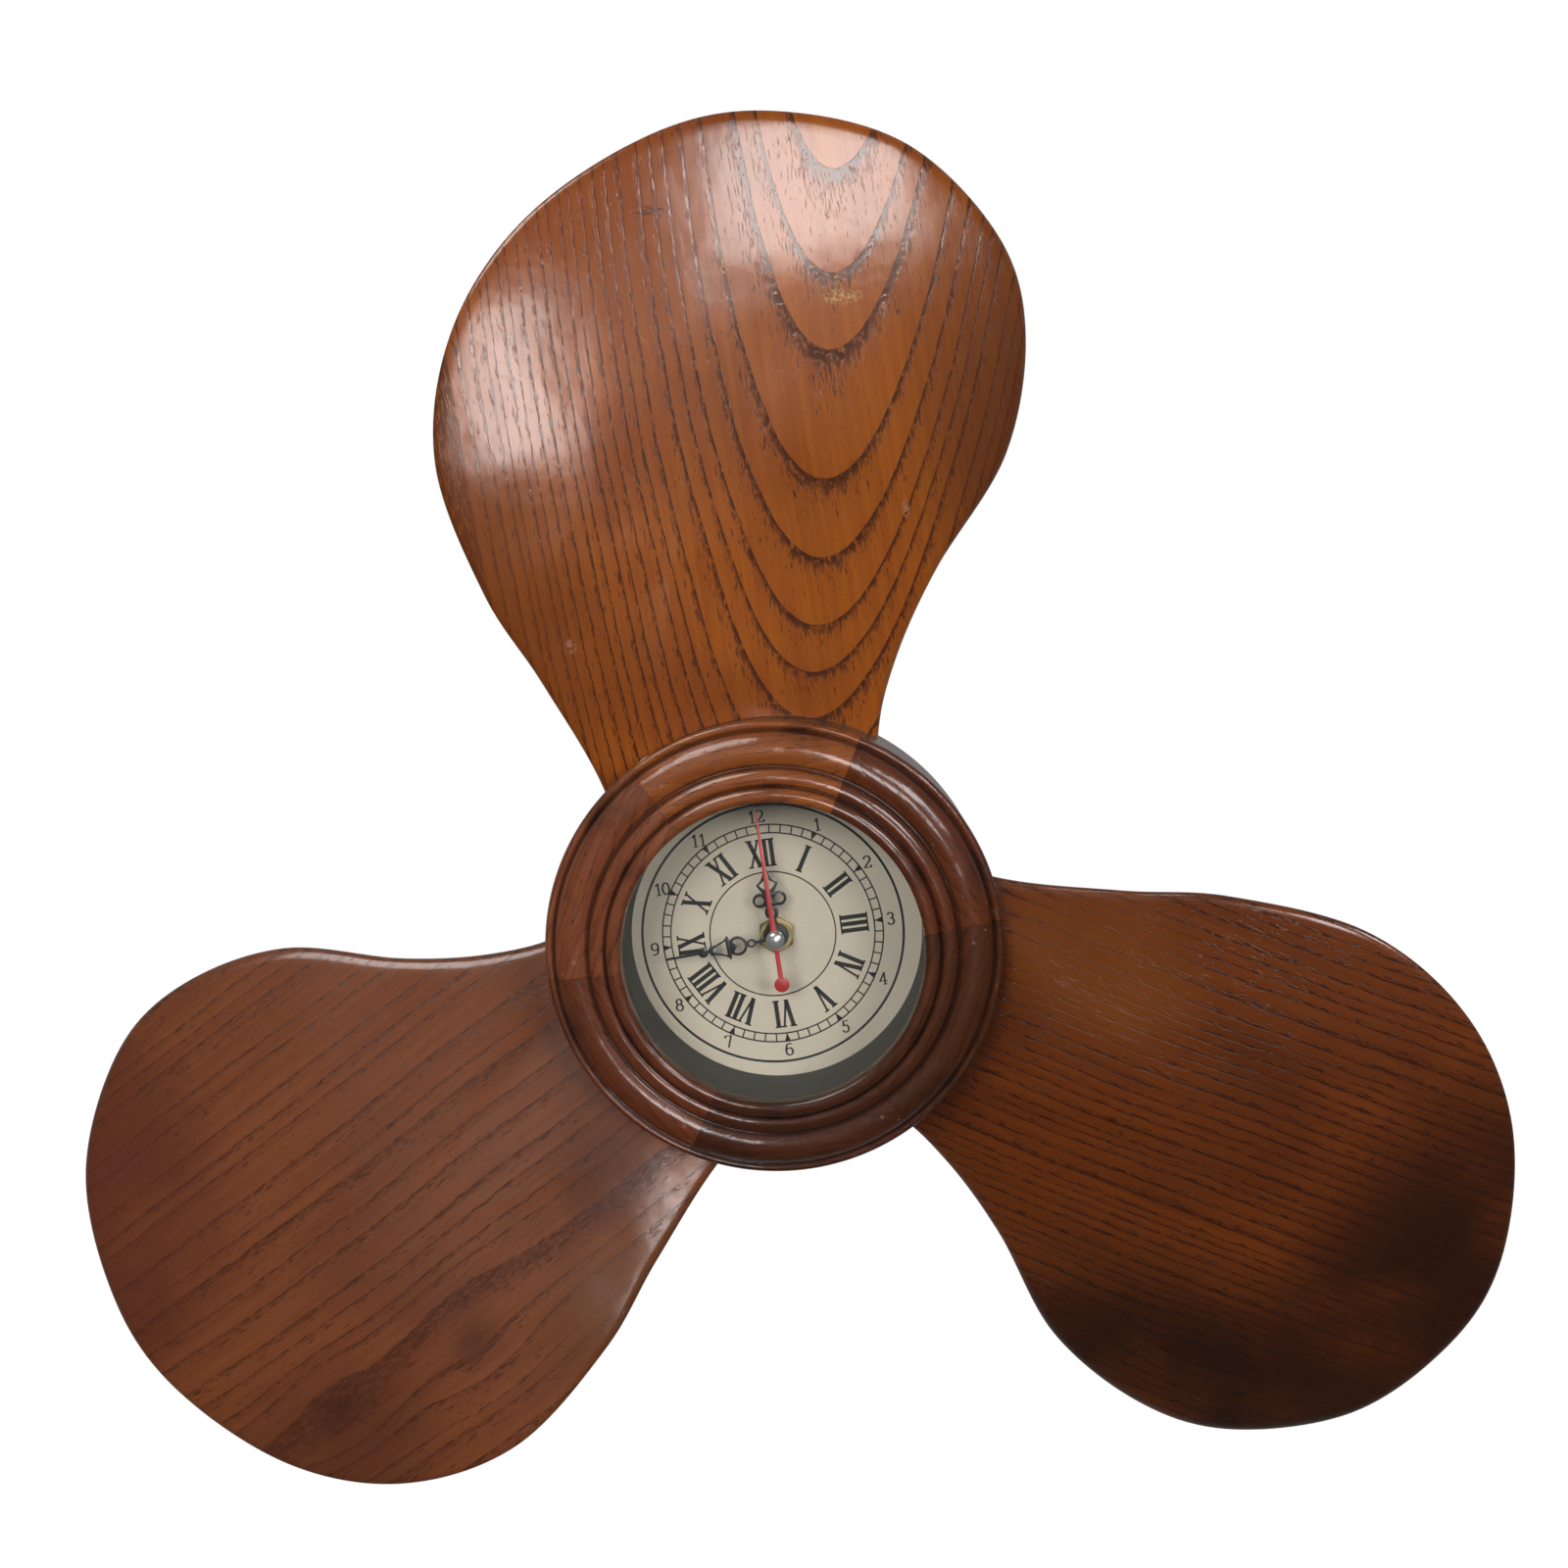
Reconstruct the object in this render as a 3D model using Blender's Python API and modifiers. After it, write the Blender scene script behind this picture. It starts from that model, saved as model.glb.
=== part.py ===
"""Wall clock shaped as a three-bladed ship's propeller, with its quartz movement.

Every piece is modelled lying face up on the wall plane: x to the right, y to 12 o'clock
and z forward from the wall, all about the shaft. One empty then stands the clock upright,
so that the world has +Z up and the dial looks along -Y.
"""

import math

import bmesh
import bpy
from mathutils import Matrix, Vector

# ---------------------------------------------------------------- driving dimensions, metres
GAP = 0.0003
RUNNING_GAP = 0.00025
ROUND_STEPS = 60

# Hub
HUB_RADIUS = 0.0733
HUB_DEPTH = 0.048
SHOULDER_DEPTH = 0.0230
CASE_ROOM = 0.00523
SHOULDER_WIDTH = 0.0066
HUB_BACK_CHAMFER = 0.0010

# Turned front ring, glued from wedges
RING_WEDGES = 6
RING_JOINT_DIRECTION = 0.0
RING_OVERHANG = 0.0002
RING_HEIGHT = 0.0118
RING_PATTERN_WIDTH = 0.0255
RING_LIP = 0.0030
REBATE_BEYOND_BORE = 0.0004
GLASS_REBATE_DEPTH = 0.0060

# Glass, lining and dial
GLASS_THICKNESS = 0.0020
LINING_THICKNESS = 0.0017
DIAL_BOARD_THICKNESS = 0.0021
DIAL_PAPER_THICKNESS = 0.0003
DIAL_EDGE_GAP = 0.0004

# Blades
# Each blade's direction in degrees and its size beside the pattern: they are cut by hand.
BLADES = {
    "top_blade": (90.85, 1.0),
    "left_blade": (209.86, 0.990),
    "right_blade": (329.92, 1.002),
}
BLADE_CENTRE = 0.165
BLADE_EDGE_THICKNESS = 0.0050
BLADE_FRONT_CROWN = 0.0075
BLADE_BACK_CROWN = 0.0040
BLADE_MIDDLE_DEPTH = 0.0377
BLADE_RAKE = 0.099
BLADE_PITCH = 0.361
BLADE_UNTWIST = 0.0081
BLADE_SWEEP = 0.059
BLADE_CUP = 0.038
TWIST_RADIUS = 0.150
DOWEL_RADIUS = 0.0030
DOWEL_SPACING = 0.0360
DOWEL_HUB_WALL = 0.0077
DOWEL_IN_BLADE = 0.0180

# Hanger plate
HANGER_RADIUS = 0.0590
HANGER_LENGTH = 0.0440
HANGER_WIDTH = 0.0170
HANGER_THICKNESS = 0.0015
NAIL_HEAD_RADIUS = 0.0038
NAIL_SHANK_RADIUS = 0.0021
NAIL_DROP = 0.0042
NAIL_POCKET_DEPTH = 0.0080
HANGER_SCREW_SPACING = 0.0320
SCREW_RADIUS = 0.0012
SCREW_HEAD_RADIUS = 0.0024
SCREW_HEAD_HEIGHT = 0.0013
SCREW_LENGTH = 0.0110

# Movement case
CASE_WIDTH = 0.0560
CASE_DEPTH = 0.0162
CASE_WALL = 0.0015
CASE_CORNER = 0.0020
TRAIN_FLOOR_DROP = 0.0100
WASHER_THICKNESS = 0.0008
WASHER_RADIUS = 0.0075
STUB_RADIUS = 0.0041
STUB_BORE_ROOM = 0.00025
STUB_HEIGHT = 0.0042
NUT_ACROSS_FLATS = 0.0110
NUT_HEIGHT = 0.0022
BATTERY_RADIUS = 0.0070
BATTERY_LENGTH = 0.0505
BATTERY_CLEARANCE = 0.0005
BATTERY_BUTTON_RADIUS = 0.0026
BATTERY_BUTTON_HEIGHT = 0.0015
BATTERY_SHOULDER = 0.0006
CONTACT_THICKNESS = 0.0004
CONTACT_SPACE = 0.00125
CONTACT_WIDTH = 0.0090

# Arbors and tubes, from the outside in
HOUR_TUBE_RADIUS = 0.00255
MINUTE_TUBE_RADIUS = 0.0018
SECOND_ARBOR_RADIUS = 0.0007
TUBE_WALL = 0.0004
TUBE_ROOM = 0.00035

# Hands: height of each above the dial
HOUR_HAND_LIFT = 0.0050
MINUTE_HAND_LIFT = 0.0080
SECOND_HAND_LIFT = 0.0109
HAND_THICKNESS = 0.0004
CAP_RADIUS = 0.0031
CAP_TOP_LIFT = 0.0132
SECOND_HAND_LENGTH = 0.0430
SECOND_TAIL_LENGTH = 0.0150

# Train: module, teeth and layer pitch
MOTION_MODULE = 0.0004
SECONDS_MODULE = 0.00035
ROTOR_MODULE = 0.00025
CENTRE_MODULE = 0.00025
CANNON_TEETH = 10
REVERSER_TEETH = 30
REVERSER_PINION_TEETH = 8
HOUR_TEETH = 32
SETTING_TEETH = 10
SECONDS_TEETH = 40
SECONDS_PINION_TEETH = 8
THIRD_TEETH = 60
THIRD_PINION_TEETH = 8
CENTRE_TEETH = 64
MIDDLE_PINION_TEETH = 8
MIDDLE_TEETH = 48
ROTOR_PINION_TEETH = 8
WHEEL_THICKNESS = 0.0010
LAYER_PITCH = 0.0018
MESH_ROOM = 0.2
REVERSER_DIRECTION = math.radians(180)
SETTING_DIRECTION = math.radians(120)
THIRD_DIRECTION = math.radians(30)
MIDDLE_DIRECTION = math.radians(100)
ROTOR_DIRECTION = math.radians(60)
ROTOR_RADIUS = 0.0023
KNOB_RADIUS = 0.0050
KNOB_STAND_OFF = 0.0030
KNOB_SHAFT_RADIUS = 0.0013


# Stepping motor
STATOR_THICKNESS = 0.0010
CORE_WIDTH = 0.0024
CORE_THICKNESS = 0.0009
COIL_RADIUS = 0.0029

# ---------------------------------------------------------------- derived sizes
TRAIN_FLOOR = -TRAIN_FLOOR_DROP
BAY_TOP = TRAIN_FLOOR - CASE_WALL
BAY_FLOOR = BAY_TOP - 2 * (BATTERY_RADIUS + BATTERY_CLEARANCE)
BAY_HALF = BATTERY_LENGTH / 2 + CONTACT_SPACE
CASE_TOP = CASE_WIDTH / 2
CASE_BOTTOM = BAY_FLOOR - CASE_WALL
CASE_REACH = CASE_CORNER + math.hypot(
    CASE_WIDTH / 2 - CASE_CORNER, max(CASE_TOP, -CASE_BOTTOM) - CASE_CORNER
)
REAR_OPENING_RADIUS = CASE_REACH + CASE_ROOM
FRONT_BORE_RADIUS = REAR_OPENING_RADIUS + SHOULDER_WIDTH
GLASS_REBATE_RADIUS = FRONT_BORE_RADIUS + REBATE_BEYOND_BORE
RING_OPENING_RADIUS = GLASS_REBATE_RADIUS - RING_LIP
STUB_BORE_RADIUS = HOUR_TUBE_RADIUS + STUB_BORE_ROOM
DOWEL_IN_HUB = HUB_RADIUS - FRONT_BORE_RADIUS - DOWEL_HUB_WALL
DIAL_BACK = SHOULDER_DEPTH + GAP
PAPER_BACK = DIAL_BACK + DIAL_BOARD_THICKNESS + GAP / 2
DIAL_FACE = PAPER_BACK + DIAL_PAPER_THICKNESS
RING_BACK = HUB_DEPTH + GAP
REBATE_TOP = RING_BACK + GLASS_REBATE_DEPTH
GLASS_BACK = REBATE_TOP - GAP - GLASS_THICKNESS
DIAL_RADIUS = FRONT_BORE_RADIUS - DIAL_EDGE_GAP
CASE_FRONT = DIAL_BACK - WASHER_THICKNESS - 2 * GAP
CASE_BACK = CASE_FRONT - CASE_DEPTH
CASE_INNER_FRONT = CASE_FRONT - CASE_WALL
CASE_INNER = CASE_WIDTH / 2 - CASE_WALL

# ---------------------------------------------------------------- scene, materials, helpers
for leftover in list(bpy.data.objects):
    bpy.data.objects.remove(leftover, do_unlink=True)

clock = bpy.data.collections.new("propeller_wall_clock")
cutters = bpy.data.collections.new("cutters")
bpy.context.scene.collection.children.link(clock)
bpy.context.scene.collection.children.link(cutters)

upright = bpy.data.objects.new("upright", None)
upright.rotation_euler = (math.pi / 2, 0, 0)
upright.location = (0, 0, -HANGER_RADIUS)
clock.objects.link(upright)


def material(name, colour, roughness, metallic=0.0, transmission=0.0):
    made = bpy.data.materials.new(name)
    made.use_nodes = True
    shader = made.node_tree.nodes["Principled BSDF"]
    shader.inputs["Base Color"].default_value = (*colour, 1)
    shader.inputs["Roughness"].default_value = roughness
    shader.inputs["Metallic"].default_value = metallic
    shader.inputs["Transmission Weight"].default_value = transmission
    return made


BLADE_WOOD = material("blade_wood", (0.30, 0.11, 0.035), 0.28)
HUB_WOOD = material("hub_wood", (0.20, 0.075, 0.03), 0.32)
RING_WOOD = material("ring_wood", (0.23, 0.08, 0.035), 0.22)
DOWEL_WOOD = material("dowel_wood", (0.55, 0.38, 0.2), 0.6)
CLEAR_GLASS = material("clear_glass", (0.95, 0.97, 0.96), 0.02, transmission=1.0)
LINING_CARD = material("lining_card", (0.05, 0.052, 0.045), 0.7)
BOARD = material("dial_board", (0.42, 0.28, 0.16), 0.7)
PAPER = material("dial_paper", (0.62, 0.56, 0.44), 0.75)
BLACK_PLASTIC = material("black_plastic", (0.02, 0.02, 0.02), 0.45)
WHITE_PLASTIC = material("white_plastic", (0.75, 0.74, 0.7), 0.4)
RUBBER = material("washer_rubber", (0.03, 0.03, 0.03), 0.8)
BRASS = material("brass", (0.66, 0.5, 0.22), 0.3, 1.0)
STEEL = material("steel", (0.55, 0.56, 0.57), 0.35, 1.0)
CHROME = material("chrome", (0.85, 0.85, 0.86), 0.08, 1.0)
HAND_BLACK = material("hand_black", (0.012, 0.012, 0.013), 0.35)
HAND_RED = material("hand_red", (0.55, 0.02, 0.02), 0.35)
COPPER = material("copper_wire", (0.62, 0.25, 0.1), 0.35, 1.0)
BOARD_GREEN = material("circuit_green", (0.03, 0.18, 0.07), 0.5)
BATTERY_WRAP = material("battery_wrap", (0.06, 0.06, 0.065), 0.3)
MAGNET = material("magnet_black", (0.06, 0.06, 0.06), 0.5)


def place(obj, look, at=(0, 0), turn=0.0):
    """Gives obj its finish and hangs it on the upright frame, turned about its own axis."""
    obj.data.materials.clear()
    obj.data.materials.append(look)
    obj.parent = upright
    obj.location = (at[0], at[1], 0)
    obj.rotation_euler = (0, 0, turn)
    return obj


def object_from(name, bm, look, at=(0, 0), turn=0.0, helper=False):
    """A mesh object from bm. A helper cuts or joins another piece and isn't a piece itself."""
    bmesh.ops.recalc_face_normals(bm, faces=bm.faces)
    mesh = bpy.data.meshes.new(name)
    bm.to_mesh(mesh)
    bm.free()
    mesh.shade_smooth()
    mesh.set_sharp_from_angle(angle=math.radians(35))
    obj = bpy.data.objects.new(name, mesh)
    (cutters if helper else clock).objects.link(obj)
    place(obj, look, at, turn)
    if helper:
        obj.hide_render = True
        obj.display_type = "WIRE"
    return obj


def rod(name, radius, low, high, look, sides=24, top_radius=None, **placing):
    bm = bmesh.new()
    top = radius if top_radius is None else top_radius
    bmesh.ops.create_cone(
        bm, cap_ends=True, segments=sides, radius1=radius, radius2=top, depth=high - low
    )
    bmesh.ops.translate(bm, verts=bm.verts, vec=(0, 0, (low + high) / 2))
    return object_from(name, bm, look, **placing)


def cross_rod(name, radius, start, end, look, sides=12, **placing):
    """A rod between two points."""
    bm = bmesh.new()
    span = Vector(end) - Vector(start)
    bmesh.ops.create_cone(
        bm, cap_ends=True, segments=sides, radius1=radius, radius2=radius, depth=span.length
    )
    turned_to = span.to_track_quat("Z", "Y").to_matrix().to_4x4()
    middle = Matrix.Translation((Vector(start) + Vector(end)) / 2)
    bmesh.ops.transform(bm, matrix=middle @ turned_to, verts=bm.verts)
    return object_from(name, bm, look, **placing)


def box(name, low, high, look, **placing):
    bm = bmesh.new()
    bmesh.ops.create_cube(bm, size=1)
    size = [high[axis] - low[axis] for axis in range(3)]
    middle = [(high[axis] + low[axis]) / 2 for axis in range(3)]
    bmesh.ops.scale(bm, verts=bm.verts, vec=size)
    bmesh.ops.translate(bm, verts=bm.verts, vec=middle)
    return object_from(name, bm, look, **placing)


def turned(name, profile, look, steps=ROUND_STEPS, closed=True, **placing):
    """Turns a profile of (radius, height) points that runs down its outer side."""
    bm = bmesh.new()
    points = [bm.verts.new((radius, 0, height)) for radius, height in profile]
    for start, end in zip(points, points[1:]):
        bm.edges.new((start, end))
    if closed:
        bm.edges.new((points[-1], points[0]))
    mesh = bpy.data.meshes.new(name)
    bm.to_mesh(mesh)
    bm.free()
    obj = bpy.data.objects.new(name, mesh)
    clock.objects.link(obj)
    place(obj, look, **placing)
    screw = obj.modifiers.new("turn", "SCREW")
    screw.steps = steps
    screw.render_steps = steps
    screw.use_merge_vertices = True
    screw.merge_threshold = 0.00001
    screw.use_smooth_shade = True
    return obj


def plate(name, outline, low, high, look, holes=(), helper=False, **placing):
    """A flat piece: an outline and its holes, filled and given a thickness."""
    curve = bpy.data.curves.new(name, "CURVE")
    curve.dimensions = "2D"
    curve.fill_mode = "BOTH"
    curve.extrude = (high - low) / 2
    for loop in (outline, *holes):
        spline = curve.splines.new("POLY")
        spline.points.add(len(loop) - 1)
        for point, (x, y) in zip(spline.points, loop):
            point.co = (x, y, 0, 1)
        spline.use_cyclic_u = True
    flat = bpy.data.objects.new(name + "_outline", curve)
    bpy.context.scene.collection.objects.link(flat)
    evaluated = flat.evaluated_get(bpy.context.evaluated_depsgraph_get())
    mesh = bpy.data.meshes.new_from_object(evaluated)
    bpy.data.objects.remove(flat, do_unlink=True)
    bm = bmesh.new()
    bm.from_mesh(mesh)
    bmesh.ops.remove_doubles(bm, verts=bm.verts, dist=0.000001)
    bmesh.ops.translate(bm, verts=bm.verts, vec=(0, 0, (low + high) / 2))
    return object_from(name, bm, look, helper=helper, **placing)


def circle(radius, sides=24, centre=(0, 0), start=0.0):
    return [
        (
            centre[0] + radius * math.cos(start + math.tau * step / sides),
            centre[1] + radius * math.sin(start + math.tau * step / sides),
        )
        for step in range(sides)
    ]


def rectangle(low_x, low_y, high_x, high_y):
    return [(low_x, low_y), (high_x, low_y), (high_x, high_y), (low_x, high_y)]


def boolean(obj, other, operation):
    modifier = obj.modifiers.new(operation.lower(), "BOOLEAN")
    modifier.operation = operation
    modifier.solver = "EXACT"
    modifier.object = other
    return obj


def cut(obj, *others):
    for other in others:
        boolean(obj, other, "DIFFERENCE")
    return obj


def join(obj, *others):
    for other in others:
        boolean(obj, other, "UNION")
    return obj


def polar(distance, direction, origin=(0, 0)):
    return (
        origin[0] + distance * math.cos(direction),
        origin[1] + distance * math.sin(direction),
    )


# ---------------------------------------------------------------- blades
# Half of the seat at the hub, then round the tip: (along the blade, across it).
BLADE_OUTLINE = [
    (0.020, -0.0400),
    (0.058, -0.0432),
    (0.084, -0.0530),
    (0.112, -0.0712),
    (0.146, -0.1000),
    (0.184, -0.1122),
    (0.2160, -0.1073),
    (0.2468, -0.0810),
    (0.2592, -0.0420),
    (0.2562, -0.0056),
    (0.2356, 0.0362),
    (0.2054, 0.0643),
    (0.1670, 0.0773),
    (0.1252, 0.0711),
    (0.0951, 0.0593),
    (0.0580, 0.0470),
    (0.020, 0.0440),
]
OUTLINE_STEPS = 56
# Rings from the middle of the front round the edge to the middle of the back:
# share of the way out to the outline, side, share of the edge's half thickness.
BLADE_RINGS = [
    (0.35, 1, 1.0),
    (0.65, 1, 1.0),
    (0.87, 1, 1.0),
    (0.975, 1, 0.86),
    (1.0, 1, 0.36),
    (1.0, -1, 0.36),
    (0.975, -1, 0.86),
    (0.80, -1, 1.0),
    (0.45, -1, 1.0),
]


def smooth_path(points, steps):
    """Points evenly spaced along a smooth curve through the given points."""
    dense = []
    last = len(points) - 1
    for index in range(last):
        before = Vector(points[max(index - 1, 0)])
        start = Vector(points[index])
        end = Vector(points[index + 1])
        after = Vector(points[min(index + 2, last)])
        for part in range(16):
            share = part / 16
            dense.append(
                0.5
                * (
                    2 * start
                    + (end - before) * share
                    + (2 * before - 5 * start + 4 * end - after) * share**2
                    + (3 * start - before - 3 * end + after) * share**3
                )
            )
    dense.append(Vector(points[last]))
    lengths = [0.0]
    for start, end in zip(dense, dense[1:]):
        lengths.append(lengths[-1] + (end - start).length)
    path = []
    place_in = 0
    for step in range(steps):
        wanted = lengths[-1] * step / (steps - 1)
        while place_in < len(dense) - 2 and lengths[place_in + 1] < wanted:
            place_in += 1
        share = (wanted - lengths[place_in]) / (lengths[place_in + 1] - lengths[place_in])
        path.append(dense[place_in].lerp(dense[place_in + 1], min(share, 1.0)))
    return path


def blade_depth(along, across):
    """How far in front of the wall the middle of the blade's thickness lies."""
    out = along - TWIST_RADIUS
    twist = math.atan2(across, along)
    return (
        BLADE_MIDDLE_DEPTH
        + BLADE_RAKE * out
        + BLADE_PITCH * across
        - BLADE_UNTWIST * twist
        - BLADE_SWEEP * out**2
        - BLADE_CUP * across**2
    )


def blade_point(edge, size, out, side, edge_share):
    along = size * (BLADE_CENTRE + out * (edge[0] - BLADE_CENTRE))
    across = size * out * edge[1]
    crown = BLADE_FRONT_CROWN if side > 0 else BLADE_BACK_CROWN
    rise = edge_share * BLADE_EDGE_THICKNESS / 2 + crown * (1 - out**2)
    return Vector((along, across, blade_depth(along, across) + side * rise))


def blade_body(size):
    """The carved blade, lofted from rings that shrink towards its middle."""
    bm = bmesh.new()
    edge_path = smooth_path(BLADE_OUTLINE, OUTLINE_STEPS)
    front = bm.verts.new(blade_point(edge_path[0], size, 0, 1, 1))
    back = bm.verts.new(blade_point(edge_path[0], size, 0, -1, 1))
    rings = [
        [bm.verts.new(blade_point(edge, size, *ring)) for edge in edge_path]
        for ring in BLADE_RINGS
    ]
    for step in range(OUTLINE_STEPS):
        following = (step + 1) % OUTLINE_STEPS
        bm.faces.new((front, rings[0][step], rings[0][following]))
        bm.faces.new((back, rings[-1][following], rings[-1][step]))
        for inner, outer in zip(rings, rings[1:]):
            bm.faces.new((inner[step], outer[step], outer[following], inner[following]))
    return bm


def dowel_ends(side):
    """Both ends of the dowel's axis, from inside the hub out into the blade."""
    across = side * DOWEL_SPACING / 2
    seat = math.sqrt(HUB_RADIUS**2 - across**2)
    depth = blade_depth(seat, across)
    start = (seat - DOWEL_IN_HUB, across, depth)
    end = (seat + DOWEL_IN_BLADE, across, depth)
    return start, end


hub_seat = rod("hub_seat", HUB_RADIUS + GAP, -0.02, 0.09, HUB_WOOD, ROUND_STEPS, helper=True)
dowel_holes = []
for blade_name, (degrees, blade_size) in BLADES.items():
    angle = math.radians(degrees)
    blade = object_from(blade_name, blade_body(blade_size), BLADE_WOOD, turn=angle)
    cut(blade, hub_seat)
    for side, side_name in ((1, "high"), (-1, "low")):
        inner, outer = dowel_ends(side)
        name = f"{blade_name}_{side_name}_dowel"
        cross_rod(name, DOWEL_RADIUS, inner, outer, DOWEL_WOOD, turn=angle)
        hole_start = (inner[0] - GAP, inner[1], inner[2])
        hole_end = (outer[0] + GAP, outer[1], outer[2])
        hole = cross_rod(
            name + "_hole",
            DOWEL_RADIUS + GAP / 2,
            hole_start,
            hole_end,
            DOWEL_WOOD,
            turn=angle,
            helper=True,
        )
        cut(blade, hole)
        dowel_holes.append(hole)

# ---------------------------------------------------------------- hub
hub = turned(
    "hub_drum",
    [
        (HUB_RADIUS, HUB_DEPTH),
        (HUB_RADIUS, HUB_BACK_CHAMFER),
        (HUB_RADIUS - HUB_BACK_CHAMFER, 0),
        (REAR_OPENING_RADIUS, 0),
        (REAR_OPENING_RADIUS, SHOULDER_DEPTH),
        (FRONT_BORE_RADIUS, SHOULDER_DEPTH),
        (FRONT_BORE_RADIUS, HUB_DEPTH),
    ],
    HUB_WOOD,
)
cut(hub, *dowel_holes)

# Ring profile, as a pattern from the opening over the beads to the rim: (out, down from the top).
RING_PATTERN = [
    (0.0, 0.0016), (0.0014, 0.0), (0.0036, 0.0003), (0.0053, 0.0024), (0.0070, 0.0018),
    (0.0098, 0.0026), (0.0112, 0.0046), (0.0142, 0.0036), (0.0182, 0.0043), (0.0212, 0.0064),
    (0.0224, 0.0088), (0.0241, 0.0084), (0.0255, 0.0098),
]
RIM_RADIUS = HUB_RADIUS + RING_OVERHANG
ring_stretch = (RIM_RADIUS - RING_OPENING_RADIUS) / RING_PATTERN_WIDTH
RING_PROFILE = [
    (RING_OPENING_RADIUS, GLASS_REBATE_DEPTH),
    *((RING_OPENING_RADIUS + out * ring_stretch, RING_HEIGHT - down) for out, down in RING_PATTERN),
    (RIM_RADIUS, 0.0),
    (GLASS_REBATE_RADIUS, 0.0),
    (GLASS_REBATE_RADIUS, GLASS_REBATE_DEPTH),
]
WEDGE_STEPS = 9


def ring_wedge(name, middle_angle):
    """One wedge of the ring, spun from its closed profile, less the glue line at each end."""
    bm = bmesh.new()
    profile = [bm.verts.new((r, 0, RING_BACK + h)) for r, h in RING_PROFILE]
    section = bm.faces.new(profile)
    joint = GAP / 2 / HUB_RADIUS
    sweep = math.tau / RING_WEDGES - 2 * joint
    bmesh.ops.rotate(bm, verts=bm.verts, matrix=Matrix.Rotation(-sweep / 2, 3, "Z"))
    bmesh.ops.spin(
        bm,
        geom=[section, *section.edges, *section.verts],
        cent=(0, 0, 0),
        axis=(0, 0, 1),
        angle=sweep,
        steps=WEDGE_STEPS,
        use_duplicate=False,
    )
    return object_from(name, bm, RING_WOOD, turn=middle_angle)


for wedge in range(RING_WEDGES):
    wedge_middle = RING_JOINT_DIRECTION + math.tau * (wedge + 0.5) / RING_WEDGES
    ring_wedge(f"ring_wedge_{wedge + 1}", wedge_middle)

# ---------------------------------------------------------------- glass, lining, dial
rod("dial_glass", GLASS_REBATE_RADIUS - GAP, GLASS_BACK, GLASS_BACK + GLASS_THICKNESS,
    CLEAR_GLASS, ROUND_STEPS)

lining_outer = FRONT_BORE_RADIUS - GAP
lining_inner = lining_outer - LINING_THICKNESS
turned(
    "lining_sleeve",
    [
        (lining_outer, GLASS_BACK - GAP),
        (lining_outer, DIAL_FACE + GAP),
        (lining_inner, DIAL_FACE + GAP),
        (lining_inner, GLASS_BACK - GAP),
    ],
    LINING_CARD,
)
turned(
    "dial_board",
    [
        (DIAL_RADIUS, DIAL_BACK + DIAL_BOARD_THICKNESS),
        (DIAL_RADIUS, DIAL_BACK),
        (STUB_RADIUS + GAP, DIAL_BACK),
        (STUB_RADIUS + GAP, DIAL_BACK + DIAL_BOARD_THICKNESS),
    ],
    BOARD,
    steps=48,
)
turned(
    "dial_paper",
    [
        (DIAL_RADIUS - GAP, DIAL_FACE),
        (DIAL_RADIUS - GAP, PAPER_BACK),
        (STUB_RADIUS + 2 * GAP, PAPER_BACK),
        (STUB_RADIUS + 2 * GAP, DIAL_FACE),
    ],
    PAPER,
    steps=48,
)

# ---------------------------------------------------------------- hanger plate
nail_hole_y = HANGER_RADIUS - NAIL_DROP
hanger_low = HANGER_RADIUS - HANGER_WIDTH / 2 - NAIL_DROP / 2
hanger_high = hanger_low + HANGER_WIDTH
keyhole = [
    polar(NAIL_HEAD_RADIUS, math.radians(125 + 290 * step / 15), (0, nail_hole_y - 0.0025))
    for step in range(16)
]
slot_top = HANGER_RADIUS - 0.0015 - NAIL_SHANK_RADIUS
keyhole += [
    polar(NAIL_SHANK_RADIUS, math.radians(180 * step / 6), (0, slot_top)) for step in range(7)
]
screw_x = HANGER_SCREW_SPACING / 2
screw_y = (hanger_low + hanger_high) / 2
hanger_plate = plate(
    "hanger_plate",
    rectangle(-HANGER_LENGTH / 2, hanger_low, HANGER_LENGTH / 2, hanger_high),
    0,
    HANGER_THICKNESS,
    STEEL,
    holes=[keyhole],
)
hanger_recess = box(
    "hanger_recess",
    (-HANGER_LENGTH / 2 - GAP, hanger_low - GAP, -0.001),
    (HANGER_LENGTH / 2 + GAP, hanger_high + GAP, HANGER_THICKNESS + GAP),
    HUB_WOOD,
    helper=True,
)
nail_pocket = box(
    "nail_pocket",
    (-NAIL_HEAD_RADIUS - 0.0012, nail_hole_y - NAIL_HEAD_RADIUS - 0.0032, -0.001),
    (NAIL_HEAD_RADIUS + 0.0012, HANGER_RADIUS + 0.0026, NAIL_POCKET_DEPTH),
    HUB_WOOD,
    helper=True,
)
cut(hub, hanger_recess, nail_pocket)

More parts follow.
